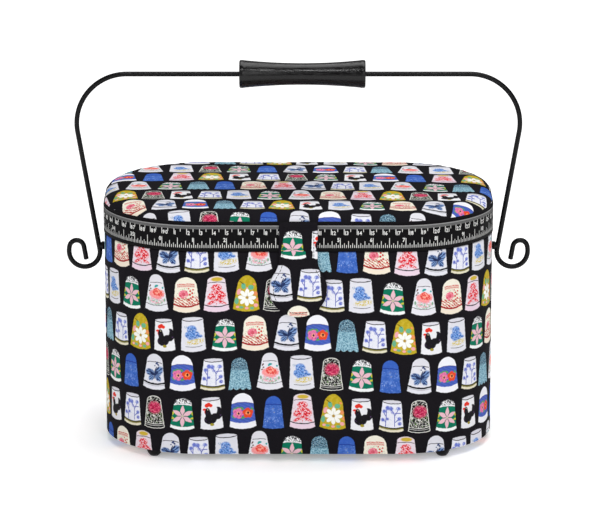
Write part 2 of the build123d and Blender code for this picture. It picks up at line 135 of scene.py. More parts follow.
class Finish:
    """One material, with its nodes added as they are asked for."""

    def __init__(self, name, roughness=0.6, sheen=0.0, coat=0.0, specular=0.5, metallic=0.0):
        self.material = bpy.data.materials.new(name)
        self.material.use_nodes = True
        self.tree = self.material.node_tree
        self.shader = self.tree.nodes["Principled BSDF"]
        for socket, value in (
            ("Roughness", roughness), ("Sheen Weight", sheen), ("Coat Weight", coat),
            ("Specular IOR Level", specular), ("Metallic", metallic),
        ):
            self.shader.inputs[socket].default_value = value

    def add(self, kind, settings=None, inputs=()):
        """A node of a kind: its settings first, then the values or links of its sockets."""
        node = self.tree.nodes.new("ShaderNode" + kind)
        for name, value in (settings or {}).items():
            setattr(node, name, value)
        pairs = inputs.items() if isinstance(inputs, dict) else enumerate(inputs)
        for name, value in pairs:
            socket = value.socket if isinstance(value, Number) else value
            if isinstance(socket, bpy.types.NodeSocket):
                self.tree.links.new(socket, node.inputs[name])
            else:
                node.inputs[name].default_value = socket
        return node

    def parts(self, vector):
        """The three numbers of a vector."""
        node = self.add("SeparateXYZ", None, (vector,))
        return [Number(self, out) for out in node.outputs]

    def vector(self, operation, *inputs):
        """A Vector Math node's result."""
        return self.add("VectorMath", {"operation": operation}, inputs).outputs[0]

    def mix(self, share, under, over):
        """One colour over another, by a share."""
        node = self.add("Mix", {"data_type": "RGBA"}, {0: share, 6: under, 7: over})
        return node.outputs[2]

    def place(self):
        """Where a point of the piece is, in millimetres."""
        source = self.add("TexCoord").outputs["Object"]
        return self.vector("MULTIPLY", source, (1000.0, 1000.0, 1000.0))

    def cut(self, name):
        """The piece's own flat pattern, in millimetres."""
        return self.add("UVMap", {"uv_map": name}).outputs[0]

    def noise(self, where, size, detail=2.0, rough=0.5):
        """Soft noise whose blots are about a size across, from 0 to 1."""
        node = self.add(
            "TexNoise", None,
            {"Vector": where, "Scale": 1.0 / size, "Detail": detail, "Roughness": rough},
        )
        return Number(self, node.outputs[0])

    def paint(self, colour):
        """The finish's colour."""
        socket = self.shader.inputs["Base Color"]
        if isinstance(colour, bpy.types.NodeSocket):
            self.tree.links.new(colour, socket)
        else:
            socket.default_value = colour

    def drive(self, socket, number):
        """A number that changes over the surface, into one of the shader's sockets."""
        self.tree.links.new(number.socket, self.shader.inputs[socket])

    def emboss(self, height, depth):
        """Relief: a height from 0 to 1 that stands for a depth in millimetres."""
        node = self.add("Bump", None, {"Distance": depth * MM, "Height": height})
        self.tree.links.new(node.outputs[0], self.shader.inputs["Normal"])

    def weave(self, thread, name="cloth"):
        """A plain weave's relief: two sets of threads, each over and under the other."""
        across, along, _ = self.parts(self.cut(name))
        turn = math.pi / thread
        return abs((across * turn).sine() * (along * turn).sine())


# ---- The print: painted china thimbles on black cotton ---------------------------------------
INK = dye(26, 26, 33)
CHINA = dye(228, 228, 236)
SHADE = dye(216, 215, 223)
COTTON = dye(20, 18, 22)
LINT = dye(27, 25, 30)
REPEAT_WIDTH = 210.0
ROW_PITCH = 31.7
# Each row of the repeat: the thimbles' letters and the first one's place, in millimetres.
PRINT_ROWS = (
    ("GTULRBSWC", -5.5),
    ("NURMHSFGH", -43.3),
    ("STCWFGUBN", -67.0),
    ("LBNTSMHWG", -33.5),
    ("HSWGCLRMF", 4.0),
)
FIRST_BASELINE = -10.8
# A row's share of the cloth starts this far below its thimbles' feet.
ROW_MARGIN = 0.9
# Letter: room along the row, height, half its base, half its top, crown, sag, lean in degrees.
THIMBLES = {
    "T": (20.5, 26.2, 9.0, 5.4, 6.5, 0.4, 1.0),
    "U": (21.5, 26.6, 8.4, 5.6, 7.0, 1.0, 0.0),
    "S": (22.0, 26.1, 9.8, 7.2, 1.5, 1.8, -1.5),
    "H": (22.5, 26.3, 9.1, 7.0, 1.4, 1.4, 2.0),
    "F": (22.0, 26.7, 9.3, 5.8, 4.0, 1.4, 0.5),
    "W": (24.0, 28.1, 9.9, 8.1, 1.6, 1.8, 1.5),
    "C": (26.0, 29.9, 10.6, 5.0, 6.0, 2.4, 0.0),
    "G": (24.0, 25.8, 10.0, 6.4, 4.6, 1.8, -2.0),
    "L": (24.0, 28.3, 10.8, 7.8, 7.5, 2.6, 1.0),
    "R": (23.0, 28.6, 10.2, 6.4, 3.4, 2.0, 0.0),
    "B": (24.0, 29.0, 10.2, 6.2, 7.0, 2.0, -3.0),
    "N": (25.0, 29.0, 10.6, 7.6, 9.0, 2.2, 1.0),
    "M": (23.0, 28.9, 10.5, 6.2, 12.0, 2.0, -2.0),
}
LETTERS = "".join(THIMBLES)


def row_layout():
    """Each row's thimbles: centres along it, and the ends of each one's share of the row.

    Neighbours stand half of each one's room apart, with the whole row stretched to the repeat.
    """
    rows = []
    for letters, first in PRINT_ROWS:
        room = np.array([THIMBLES[letter][0] for letter in letters])
        room = room * REPEAT_WIDTH / room.sum()
        ends = np.concatenate([[0.0], np.cumsum(room)])
        centres = ends[:-1] + room / 2
        rows.append((letters, first - centres[0], ends, centres))
    return rows


def lay_print(across, up):
    """Which thimble each point of the cloth belongs to: its letter's number, and its foot's place.

    The row is the height over the pitch; within it the place is taken modulo the repeat and
    looked up between the shares' ends.
    """
    row = np.floor((up - FIRST_BASELINE + ROW_MARGIN) / ROW_PITCH).astype(int)
    kind = np.zeros(across.shape, int)
    middle = np.zeros(across.shape)
    for number, (letters, start, ends, centres) in enumerate(row_layout()):
        here = row % len(PRINT_ROWS) == number
        along = across[here] - start
        laps = np.floor(along / REPEAT_WIDTH)
        slot = np.clip(np.searchsorted(ends, along - laps * REPEAT_WIDTH, "right") - 1, 0, len(letters) - 1)
        kind[here] = np.array([LETTERS.index(letter) for letter in letters])[slot]
        middle[here] = start + laps * REPEAT_WIDTH + centres[slot]
    return kind, middle, FIRST_BASELINE + row * ROW_PITCH


class Thimble(Finish):
    """Black cotton with one painted thimble: coats of paint laid inside its outline.

    Places are in millimetres from the middle of the thimble's foot, x across and y up.
    """

    def __init__(self, name, letter, glaze):
        super().__init__(name, roughness=0.82, sheen=0.0, specular=0.06)
        _, self.high, self.base, self.top, self.crown, self.sag, _ = THIMBLES[letter]
        flat = self.cut("print")
        shake = self.add("TexNoise", None, {"Vector": flat, "Scale": 0.45, "Detail": 2.0}).outputs[1]
        shake = self.vector("MULTIPLY_ADD", shake, (0.9, 0.9, 0.0), (-0.45, -0.45, 0.0))
        self.flat = self.vector("ADD", flat, shake)
        self.x, self.y, _ = self.parts(self.flat)
        tone = self.noise(self.flat, 3.5, 3.0)
        self.colour = self.mix(tone, darker(glaze, 0.9), glaze)

    def coat(self, share, colour, strength=1.0):
        """Paint laid over what is there."""
        share = share * strength if strength < 1.0 else share
        self.colour = self.mix(share, self.colour, colour)

    def distance(self, where):
        """How long a vector is."""
        node = self.add("VectorMath", {"operation": "LENGTH"}, (where,))
        return Number(self, node.outputs[1])

    def about(self, x, y, turn=0.0, wide=1.0, high=1.0):
        """Places measured from a point, turned, and in units of a width and a height."""
        node = self.add(
            "Mapping", {"vector_type": "TEXTURE"},
            (self.flat, (x, y, 0.0), (0.0, 0.0, math.radians(turn)), (wide, high, 1.0)),
        )
        return node.outputs[0]

    def dab(self, x, y, wide, high=None, turn=0.0, blur=0.16):
        """An oval of paint: the distance over its radii, less one."""
        high = high or wide
        away = self.distance(self.about(x, y, turn, wide, high))
        return away.within(1.0, blur / min(wide, high))

    def dabs(self, places, blur=0.16):
        """Several ovals at once: the most of them."""
        share = self.dab(*places[0], blur=blur)
        for place in places[1:]:
            share = share.most(self.dab(*place, blur=blur))
        return share

    def stroke(self, x0, y0, x1, y1, width):
        """A straight brush stroke: the distance to the line between two points."""
        length = math.hypot(x1 - x0, y1 - y0)
        turn = math.degrees(math.atan2(y1 - y0, x1 - x0))
        where = self.vector("ABSOLUTE", self.about((x0 + x1) / 2, (y0 + y1) / 2, turn))
        where = self.vector("SUBTRACT", where, (length / 2, 0.0, 0.0))
        where = self.vector("MAXIMUM", where, (0.0, 0.0, 0.0))
        away = self.distance(where)
        return away.within(width / 2, 0.12)

    def strokes(self, lines, width):
        """Several brush strokes at once."""
        share = self.stroke(*lines[0], width)
        for line in lines[1:]:
            share = share.most(self.stroke(*line, width))
        return share

    def petals(self, x, y, radius, count, waist, sharp=0.0, turn=0.0):
        """A flower: the radius falls to waist between petals.

        It falls by a power of the cosine, or evenly by angle, to pointed petals, at no power.
        """
        where = self.about(x, y, turn, radius, radius)
        across, up, _ = self.parts(where)
        away = self.distance(where)
        swing = abs((up.maths("ARCTAN2", across) * (count / 2)).maths("COSINE"))
        swing = swing ** sharp if sharp else 1 - swing.maths("ARCCOSINE") * (2 / math.pi)
        return (away - swing * (1.0 - waist)).within(waist, 0.16 / radius)

    def level(self, height, bend=1.0):
        """How far a point is above a line that curves as the foot does."""
        curve = self.x * self.x * (self.sag * bend / self.base ** 2)
        return self.y - curve - height

    def band(self, height, width, bend=1.0):
        """A band round the thimble."""
        return abs(self.level(height, bend)).within(width / 2, 0.13)

    def blots(self, size, level, seed, blur=0.05, detail=2.0):
        """Blots of paint: where noise passes a level."""
        where = self.vector("ADD", self.flat, (seed * 17.0, seed * 9.0, seed))
        return self.noise(where, size, detail).beyond(level, blur)

    def crown_line(self, drop, width, colour=INK):
        """The fine line under the crown, which curves the other way from the rim."""
        self.coat(abs(self.level(self.high - drop, -0.9)).within(width * 0.7, 0.16)
                  * abs(self.x).within(self.top + 0.4, 0.2), colour, 0.9)

    def mouth(self):
        """An open top: the shaded inside between the rim's back and front edges."""
        lip = ((1 - (self.x / self.top) ** 2).most(0.0)) ** 0.5 * self.crown
        edge = self.y - (self.high - self.crown) + lip
        self.coat(edge.beyond(0.1, 0.2), SHADE)
        self.coat(abs(edge).within(0.36, 0.16), INK)

    def outline(self):
        """How far outside the thimble a point is: past a side, over the crown or under the foot.

        The crown springs from where the sloping sides reach its height.
        """
        narrowing = (self.base - self.top) / self.high
        spring = self.base - narrowing * (self.high - self.crown)
        side = abs(self.x) - (self.base - self.y * narrowing)
        dome = ((1 - (self.x / spring) ** 2).most(0.0)) ** 0.5 * self.crown
        over = self.y - (self.high - self.crown) - dome
        under = self.level(0.0) * -1
        return side.most(over).most(under)

    def finish(self):
        """The thimble's paint inside its outline, bare cotton outside it, and the weave."""
        lint = self.noise(self.place(), 0.7, 3.0)
        ground = self.mix(lint, COTTON, LINT)
        painted = self.outline().within(0.0, 0.14)
        self.paint(self.mix(painted, ground, self.colour))
        self.drive("Roughness", 0.86 - painted * 0.12)
        self.emboss(self.weave(0.42), 0.05)
        return self.material


def cobalt_thimble():
    """U: cobalt with lighter blotches, a darker line under the crown and fine gilt flecks."""
    p = Thimble("cobalt_thimble", "U", dye(58, 98, 186))
    p.coat(p.blots(3.2, 0.52, 1, 0.1), dye(86, 126, 206), 0.6)
    p.coat(p.blots(1.5, 0.62, 2, 0.05), dye(126, 162, 222), 0.55)
    p.coat(p.level(19.8, -1.0).beyond(0.0, 0.3), dye(52, 92, 184), 0.8)
    p.crown_line(6.8, 0.55, dye(34, 56, 140))
    p.coat(p.blots(0.9, 0.66, 3, 0.03) * p.dab(1.6, 15.2, 4.0, 2.6), dye(204, 196, 96))
    p.coat(p.blots(0.8, 0.66, 5, 0.03) * p.dab(-1.0, 7.0, 6.0, 3.0), dye(190, 204, 226))
    return p.finish()


def lace_thimble():
    """L: cream with a red lace band, a pink rose, berries and a hatched red foot."""
    red = dye(201, 52, 44)
    p = Thimble("lace_thimble", "L", dye(243, 238, 222))
    zigzag = abs(((p.x * 1.3 + 60.0).maths("PINGPONG", 0.9)) - 0.45)
    p.coat(abs(p.level(20.6, -0.5) - zigzag * 3.4).within(0.46, 0.2) * abs(p.x).within(6.9, 0.2), red)
    p.coat(p.band(22.9, 0.7, -0.5) * abs(p.x).within(6.9, 0.2) * p.blots(0.8, 0.38, 3), red)
    p.coat(p.blots(1.0, 0.6, 7) * p.dab(0.0, 14.5, 7.6, 5.2), dye(120, 160, 90), 0.7)
    p.coat(p.dab(-2.0, 14.8, 3.9, 3.3) * p.blots(1.3, 0.4, 4, 0.08), dye(232, 118, 142))
    p.coat(p.dabs(((-2.0, 14.8, 1.5), (-4.6, 13.4, 0.9), (0.4, 16.8, 0.8))), dye(208, 66, 90), 0.8)
    p.coat(p.dabs(((3.2, 17.2, 0.8), (4.9, 15.6, 0.8), (5.6, 18.2, 0.7), (3.0, 14.4, 0.9),
                   (5.2, 12.6, 0.8), (2.2, 19.2, 0.6), (3.6, 11.6, 0.7))), red)
    hatch = ((p.x * 2.0 + p.y * 2.8 + p.noise(p.flat, 1.7) * 13.0).sine()).beyond(0.05, 0.4)
    p.coat(hatch * p.level(11.4).within(0.0, 0.4), dye(190, 58, 50))
    p.coat(p.level(4.6).within(0.0, 0.14), dye(238, 226, 208))
    p.coat(p.band(4.7, 1.3), dye(164, 36, 38))
    return p.finish()


def rose_thimble():
    """R: pale pink with an open gilt top, sprays of red roses and a pink rim."""
    red = dye(220, 34, 48)
    p = Thimble("rose_thimble", "R", dye(234, 220, 230))
    p.coat(p.dab(0.4, 26.3, 4.6, 1.7, 0.0, 0.3), dye(206, 176, 62))
    p.crown_line(4.6, 0.45)
    roses = p.dabs(((0.2, 19.6, 3.7, 2.9), (-3.6, 12.8, 3.2, 2.6, 30), (3.9, 13.2, 3.4, 3.2),
                    (0.4, 15.8, 4.4, 1.8), (-3.6, 8.0, 3.8, 1.2, 28), (4.4, 7.8, 3.4, 1.1, -24),
                    (0.4, 10.2, 1.4, 1.8)), 0.4)
    p.coat(roses, red)
    p.coat(roses * p.blots(1.2, 0.55, 2, 0.04), dye(240, 212, 220))
    p.coat(p.blots(0.9, 0.62, 6) * p.dab(0, 13.5, 7.6, 8.6), red)
    p.coat(p.level(4.2).within(0.0, 0.14), dye(230, 208, 222))
    p.coat(p.band(4.3, 0.8), INK)
    return p.finish()


def butterfly_thimble():
    """B: white with a blue butterfly and a bud, a thick black band near the foot."""
    p = Thimble("butterfly_thimble", "B", CHINA)
    p.coat(p.level(22.6, -0.9).beyond(0.0, 0.2), dye(216, 216, 224), 0.6)
    p.crown_line(6.4, 0.45)
    wings = ((-3.4, 13.6, 4.2, 2.9, -14), (3.6, 14.8, 5.2, 3.0, 52), (-2.2, 9.6, 2.8, 2.0, 36),
             (3.2, 10.4, 3.6, 2.2, -48))
    ink = dye(44, 62, 112)
    rays = (p.y - 12.6).maths("ARCTAN2", p.x - 0.4)
    p.coat(p.dabs(wings, 0.5), dye(120, 152, 200))
    p.coat(p.dabs(wings, 0.4) * ((rays * 17.0 + p.noise(p.flat, 2.0) * 5.0).sine()).beyond(0.0, 0.5), ink)
    p.coat(p.dabs(((-1.4, 12.8, 2.0, 1.2, -14), (1.8, 13.4, 2.4, 1.2, 52))), dye(30, 42, 84), 0.9)
    p.coat(p.strokes(((0.2, 8.6, 1.0, 15.2), (0.8, 15.0, 3.6, 19.0), (0.6, 15.0, 2.0, 18.6),
                      (-0.4, 12.2, -5.4, 15.4)), 0.55), dye(30, 36, 66))
    p.coat(p.dabs(((2.0, 21.6, 1.3, 0.7, 40), (3.2, 20.6, 1.2, 0.7, -40), (0.4, 19.4, 0.6),
                   (3.4, 8.6, 0.9))), ink)
    p.coat(p.band(4.6, 1.4), INK)
    p.coat(p.band(3.1, 0.4), dye(150, 150, 158))
    return p.finish()


def sprig_thimble():
    """S: white, open at the top, with two branching blue sprigs and a gilt and black foot."""
    blue = dye(92, 106, 196)
    p = Thimble("sprig_thimble", "S", dye(236, 237, 246))
    p.mouth()
    p.coat(p.strokes(((-4.6, 4.6, -4.0, 19.0), (-4.2, 12.0, -6.4, 16.0), (2.6, 5.0, 2.4, 13.6),
                      (2.4, 13.6, 5.2, 19.0), (2.4, 13.6, -0.4, 18.6), (2.6, 8.0, 5.8, 10.8),
                      (-4.4, 8.0, -7.0, 9.8), (2.4, 15.4, 6.8, 16.0)), 0.6), dye(78, 90, 180))
    flowers = ((-5.8, 16.6, 1.5), (-3.2, 19.4, 1.7), (5.2, 19.6, 1.6, 1.3), (-0.6, 19.0, 1.6, 1.9),
               (6.2, 11.4, 1.5), (-6.8, 9.6, 1.4), (6.4, 7.4, 1.5), (-3.2, 10.6, 1.1), (0.6, 16.0, 1.0))
    p.coat(p.dabs(flowers, 0.5) * p.blots(1.0, 0.36, 3, 0.06), blue)
    p.coat(p.blots(0.8, 0.66, 12, 0.03) * p.dab(0.0, 12.0, 7.6, 8.0), blue, 0.8)
    p.coat(p.dabs(flowers[:5]) * p.blots(0.7, 0.6, 8, 0.05), dye(150, 168, 226))
    p.coat(p.level(3.4).within(0.0, 0.14), dye(132, 126, 66))
    p.coat(p.band(3.2, 0.9), INK)
    p.coat(p.level(1.7).within(0.0, 0.14), dye(226, 220, 196))
    return p.finish()


def blue_rose_thimble():
    """W: white, open at the top, with a cluster of blue roses over yellow leaves."""
    p = Thimble("blue_rose_thimble", "W", CHINA)
    p.mouth()
    roses = p.dabs(((-0.8, 18.2, 3.7, 3.2), (-3.2, 13.8, 3.0, 2.6), (1.8, 13.6, 3.6, 3.0),
                    (5.6, 12.6, 1.5, 1.1), (-1.4, 11.0, 2.6, 1.4)), 0.5)
    p.coat(roses * p.blots(1.5, 0.38, 4, 0.1), dye(124, 166, 226))
    p.coat(roses * p.blots(1.1, 0.52, 2, 0.05), dye(62, 108, 184))
    p.coat(p.dab(1.6, 8.2, 7.0, 2.2, 8.0, 0.5) * p.blots(1.2, 0.5, 6, 0.05), dye(208, 188, 72))
    p.coat(p.dab(-5.6, 20.2, 1.2) * p.blots(0.8, 0.5, 5), dye(90, 140, 180), 0.6)
    p.coat(p.band(3.9, 0.5) * abs(p.x - 0.5).within(6.6, 0.3), INK, 0.9)
    return p.finish()


def coral_rose_thimble():
    """C: white with a greyer crown and a flared foot, a coral rose and pale sprays."""
    p = Thimble("coral_rose_thimble", "C", dye(232, 231, 238))
    p.coat(p.level(23.8, -0.9).beyond(0.0, 0.2), dye(222, 221, 228))
    p.crown_line(6.4, 0.4)
    p.coat(p.dab(0.2, 8.2, 6.6, 3.0, 0.0, 0.6) * p.blots(1.3, 0.5, 3, 0.05), dye(140, 184, 158))
    p.coat(p.dab(0.8, 9.4, 6.4, 3.0, 0.0, 0.6) * p.blots(1.2, 0.53, 9, 0.05), dye(238, 156, 176))
    p.coat(p.dabs(((-3.8, 14.2, 2.3, 2.9), (4.8, 14.6, 2.4, 2.8), (0.6, 12.0, 4.2, 1.6)), 0.4)
           * p.blots(1.3, 0.36, 7, 0.06), dye(242, 150, 152))
    p.coat(p.dabs(((0.2, 15.8, 3.4, 3.1), (3.2, 14.6, 2.4, 2.2))), dye(230, 78, 72))
    p.coat(p.dab(0.6, 15.2, 4.6, 3.4) * p.blots(1.3, 0.54, 5, 0.05), dye(246, 168, 150))
    p.coat(p.dabs(((0.4, 20.8, 1.4, 0.9), (-0.6, 20.0, 1.0, 0.7, 40), (5.6, 19.4, 0.7))), dye(44, 160, 158))
    p.coat(p.dabs(((-5.4, 20.4, 1.2, 0.6, 60), (-5.0, 18.2, 0.8, 0.5), (-6.0, 16.6, 0.8, 0.5, 30))),
           dye(86, 48, 50))
    p.coat(p.dabs(((-7.0, 10.0, 0.8, 1.4), (7.2, 9.6, 0.8, 1.3))), dye(128, 170, 142))
    p.coat(p.band(4.9, 0.5), INK, 0.9)
    return p.finish()


def star_flower_thimble():
    """G: green with a zigzag white crown, a pink six-pointed flower and yellow side leaves."""
    p = Thimble("star_flower_thimble", "G", dye(14, 118, 90))
    p.coat(p.dabs(((-8.2, 12.8, 3.0, 0.9, 50), (8.2, 13.2, 3.0, 0.9, -50), (-8.6, 9.6, 2.6, 0.8, -20),
                   (8.6, 10.0, 2.6, 0.8, 20))), dye(196, 194, 66))
    p.coat(p.petals(0.0, 11.2, 9.0, 6, 0.32, turn=30.0), dye(228, 186, 198))
    p.coat(p.petals(0.0, 11.2, 4.4, 6, 0.04, 5.0, 60.0), dye(60, 100, 84), 0.8)
    p.coat(p.dab(0.0, 11.2, 0.7), dye(206, 200, 160))
    crown = p.level(20.6, -0.8).beyond(0.0, 0.14)
    p.coat(crown, dye(238, 238, 240))
    squiggle = abs(p.noise(p.flat, 2.4, 1.0) - 0.5).within(0.05, 0.03)
    p.coat(crown * squiggle * p.level(21.4, -0.8).beyond(0.0, 0.14), INK)
    p.coat(p.level(2.4).within(0.0, 0.14), dye(240, 242, 242))
    return p.finish()


def knurled_thimble():
    """T: grey teal with a knurled crown, swirls and a scalloped hem."""
    p = Thimble("knurled_thimble", "T", dye(118, 164, 184))
    swirl = (p.noise(p.flat, 3.2, 1.0) * 34.0 + p.y * 0.8).sine()
    p.coat(swirl.beyond(0.2, 0.3), dye(168, 204, 216), 0.8)
    p.coat(swirl.within(-0.7, 0.2), dye(70, 118, 142), 0.7)
    knurl = p.level(16.6, -0.8).beyond(0.0, 0.8)
    p.coat(knurl, dye(96, 140, 164), 0.8)
    p.coat(knurl * p.blots(0.75, 0.5, 3, 0.04, 0.0), dye(26, 46, 66))
    p.coat(knurl * p.blots(0.7, 0.64, 7, 0.03, 0.0), dye(176, 206, 216))
    p.coat((p.y - 1.7 + abs((p.x * 0.62).sine()) * 1.7).within(0.1, 0.2), dye(23, 21, 25))
    return p.finish()


def daisy_thimble():
    """M: mustard with a white daisy and dabs of teal, pink and salmon."""
    p = Thimble("daisy_thimble", "M", dye(190, 166, 36))
    p.coat(p.blots(2.4, 0.56, 2, 0.1), dye(204, 180, 58), 0.7)
    p.coat(p.dabs(((-2.6, 20.2, 1.7, 2.4), (3.2, 19.4, 2.2, 1.9), (-7.6, 8.2, 1.6, 2.6), (4.4, 2.8, 1.7, 1.2),
                   (-4.0, 3.2, 1.8, 1.0))), dye(104, 176, 138))
    p.coat(p.dabs(((-6.0, 15.6, 1.5, 2.6, -14), (7.4, 5.2, 1.7, 1.5), (0.2, 18.0, 0.8, 1.3),
                   (-6.6, 3.6, 1.4, 1.0),
                   (0.4, 2.6, 1.5, 1.0))), dye(238, 166, 172))
    p.coat(p.dabs(((7.0, 14.6, 1.5, 1.9), (8.6, 9.6, 1.2, 1.6), (5.6, 22.0, 1.0, 0.8))), dye(232, 146, 92))
    p.coat(p.petals(0.4, 11.2, 7.0, 8, 0.5, 0.7), dye(244, 244, 238))
    p.coat(p.strokes(((0.4, 11.2, 4.2, 12.6), (0.4, 11.2, -3.2, 12.4), (0.4, 11.2, 1.8, 7.6),
                      (0.4, 11.2, 0.6, 15.0)), 0.25), dye(176, 168, 130), 0.7)
    p.coat(p.dab(0.4, 11.2, 1.2, 1.2, 0.0, 0.4), dye(172, 140, 40))
    p.coat(p.stroke(-5.6, 24.0, -2.4, 21.8, 0.5), INK)
    return p.finish()


def filigree_thimble():
    """F: black with white filigree and a crimson rose, and a white-lined foot."""
    p = Thimble("filigree_thimble", "F", dye(28, 28, 30))
    lace = abs(p.noise(p.flat, 3.0, 1.5) - 0.5)
    p.coat(lace.within(0.022, 0.02), dye(226, 226, 220))
    p.coat(p.blots(1.6, 0.62, 3, 0.03), dye(226, 226, 214))
    p.coat(p.blots(1.4, 0.64, 8, 0.03) * p.level(15.0).within(0.0, 1.0), dye(110, 150, 84))
    p.coat(p.dab(0.6, 17.0, 5.6, 5.0, 0.0, 0.9) * p.blots(1.6, 0.36, 5, 0.06), dye(178, 30, 72))
    p.coat(p.dab(0.6, 17.0, 5.4, 4.8, 0.0, 0.9) * p.blots(1.4, 0.56, 6, 0.04), dye(226, 96, 130))
    p.coat(p.level(3.6).within(0.0, 0.14), dye(34, 34, 36))
    p.coat(p.band(3.7, 0.45).most(p.band(2.2, 0.3)), dye(232, 232, 226))
    p.coat(p.outline().beyond(-0.5, 0.12), dye(236, 236, 230))
    return p.finish()


def bird_thimble():
    """H: white, open at the top, with a black farmyard bird."""
    p = Thimble("bird_thimble", "H", dye(238, 238, 242))
    p.mouth()
    p.coat(p.dabs(((-3.4, 19.6, 1.6), (-1.8, 20.4, 1.6), (-0.3, 19.6, 1.4), (-5.2, 16.6, 1.5, 1.0),
                   (-4.4, 14.4, 1.0, 1.6))), dye(226, 54, 40))
    tail = p.dab(5.0, 13.4, 4.0, 5.0) * (1 - p.dab(2.2, 15.2, 2.3, 3.8, -16))
    bird = p.dabs(((-0.9, 8.4, 5.0, 4.0, 8), (-2.6, 12.8, 2.3, 5.0, 6), (2.4, 10.2, 3.4, 2.8, 30))).most(tail)
    p.coat(bird, dye(26, 24, 28))
    p.coat(bird * p.blots(1.4, 0.66, 6, 0.04), dye(92, 64, 110), 0.8)
    p.coat(p.dab(-2.8, 16.4, 0.4), dye(236, 220, 180))
    p.coat(p.dab(0.2, 4.0, 1.6, 1.1), dye(158, 146, 40))
    return p.finish()


def garland_thimble():
    """N: royal blue between a white crown and foot, with pink and orange flowers."""
    p = Thimble("garland_thimble", "N", dye(70, 94, 180))
    p.coat(((p.x * 1.2 + p.y * 2.4).sine()).beyond(0.4, 0.5), dye(84, 108, 204), 0.6)
    p.coat(p.dabs(((-6.6, 15.8, 1.9, 0.9, 60), (-0.6, 16.8, 1.9, 0.9, -30), (-7.2, 10.0, 1.6, 0.8, -40),
                   (0.4, 9.2, 1.8, 0.9, 20), (7.4, 16.2, 1.5, 0.8, -50), (-4.0, 17.2, 1.5, 0.8, 10))),
           dye(92, 160, 84))
    p.coat(p.petals(-3.6, 12.8, 4.4, 5, 0.8, 1.0), dye(226, 122, 172))
    p.coat(p.petals(-3.6, 12.8, 4.0, 5, 0.8, 1.0) * p.blots(1.2, 0.55, 8), dye(196, 60, 120), 0.8)
    p.coat(p.petals(4.0, 13.0, 4.3, 5, 0.8, 1.0, 20), dye(226, 74, 44))
    p.coat(p.dabs(((-3.4, 12.8, 1.9), (4.0, 13.0, 1.9))) * p.blots(0.9, 0.5, 4), dye(248, 190, 120), 0.7)
    p.coat(p.dabs(((-3.2, 12.6, 0.8), (4.2, 13.2, 0.9))), dye(44, 22, 40))
    p.coat(p.level(21.6, -0.8).beyond(0.0, 0.14), dye(238, 238, 244))
    p.crown_line(7.4, 0.5, dye(40, 54, 140))
    p.coat(p.level(4.8).within(0.0, 0.14), dye(238, 238, 244))
    return p.finish()


# ---- Other finishes --------------------------------------------------------------------------
def plain_cotton(name, colour, thread=0.42, sheen=0.02):
    """Plain woven cotton: threads of slightly different tone, with lint."""
    p = Finish(name, roughness=0.85, sheen=sheen, specular=0.06)
    lint = p.noise(p.place(), 0.8, 3.0)
    weave = p.weave(thread)
    p.paint(p.mix(lint * 0.6 + weave * 0.3, darker(colour, 0.7), colour))
    p.drive("Roughness", 0.8 + lint * 0.14)
    p.emboss(weave, 0.06)
    return p.material


def bare_cotton():
    """Black cotton on CAD pieces that carry no pattern of their own: lint by place."""
    p = Finish("bare_black_cotton", roughness=0.85, sheen=0.0, specular=0.06)
    lint = p.noise(p.place(), 0.7, 4.0)
    p.paint(p.mix(lint, COTTON, LINT))
    p.drive("Roughness", 0.8 + lint * 0.12)
    p.emboss(lint, 0.06)
    return p.material


def corded_piping():
    """The piping's bias-cut cotton: diagonal ribs that follow the cord inside."""
    p = Finish("corded_piping", roughness=0.8, sheen=0.0, specular=0.08)
    along, across, _ = p.parts(p.cut("cloth"))
    ribs = ((along * 5.2 + across * 5.2).sine() + 1) * 0.5
    lint = p.noise(p.place(), 0.9, 3.0)
    p.paint(p.mix(ribs * 0.35 + lint * 0.5, dye(12, 11, 13), dye(24, 22, 26)))
    p.drive("Roughness", 0.74 + lint * 0.16)
    p.emboss(ribs, 0.08)
    return p.material


INCH, CENTIMETRE = 25.4, 10.0


def tape_print():
    """Black ribbon with a measuring scale: distance along it in its pattern's first number.

    A tick shows where the distance to the nearest multiple of its spacing is under half its
    width and the height is within its length. The top border is fine slanting hatching.
    """
    p = Finish("tape_print", roughness=0.62, sheen=0.0, specular=0.06)
    along, up, _ = p.parts(p.cut("scale"))
    rough = p.noise(p.cut("scale"), 0.5, 2.0) * 0.12 - 0.06

    def ticks(spacing, width, bottom, top, offset=0.0):
        """Marks at every multiple of a spacing past an offset, between two heights."""
        near = abs(((along - offset) + 0.5 * spacing).maths("FLOORED_MODULO", spacing) - 0.5 * spacing)
        return ((near + rough).within(width / 2, 0.1) * up.beyond(bottom, 0.1) * up.within(top, 0.1))

    ink = ticks(INCH / 16, 0.42, 2.9, 5.2)
    for parts, width, top in ((8, 0.42, 6.6), (4, 0.46, 8.3), (2, 0.5, 10.7)):
        ink = ink.most(ticks(INCH / parts, width, 2.9, top))
    ink = ink.most(ticks(CENTIMETRE, 0.5, 13.4, 17.9))
    ink = ink.most(ticks(CENTIMETRE, 0.44, 15.6, 17.9, CENTIMETRE / 2))
    hatch = ((along * 5.0 + up * 3.0).sine() * (along * 3.4 - up * 4.6).sine()).beyond(-0.15, 0.5)
    beads = up.beyond(20.0, 0.12) * up.within(20.7, 0.12) * (0.55 + hatch * 0.4)
    border = up.beyond(17.8, 0.12) * up.within(20.0, 0.12)
    ribs = (along * 9.0).sine() * 0.5 + 0.5
    lint = p.noise(p.place(), 0.9, 3.0)
    ground = p.mix(lint, dye(10, 10, 11), dye(18, 17, 19))
    cloth = p.mix((border * (hatch * 0.26 + 0.05)).most(beads * 0.7), ground, dye(198, 198, 198))
    p.paint(p.mix(ink, cloth, dye(226, 226, 224)))
    p.drive("Roughness", 0.7 - ink * 0.2)
    p.emboss(ribs * 0.5 + border * hatch * 0.5, 0.06)
    return p.material


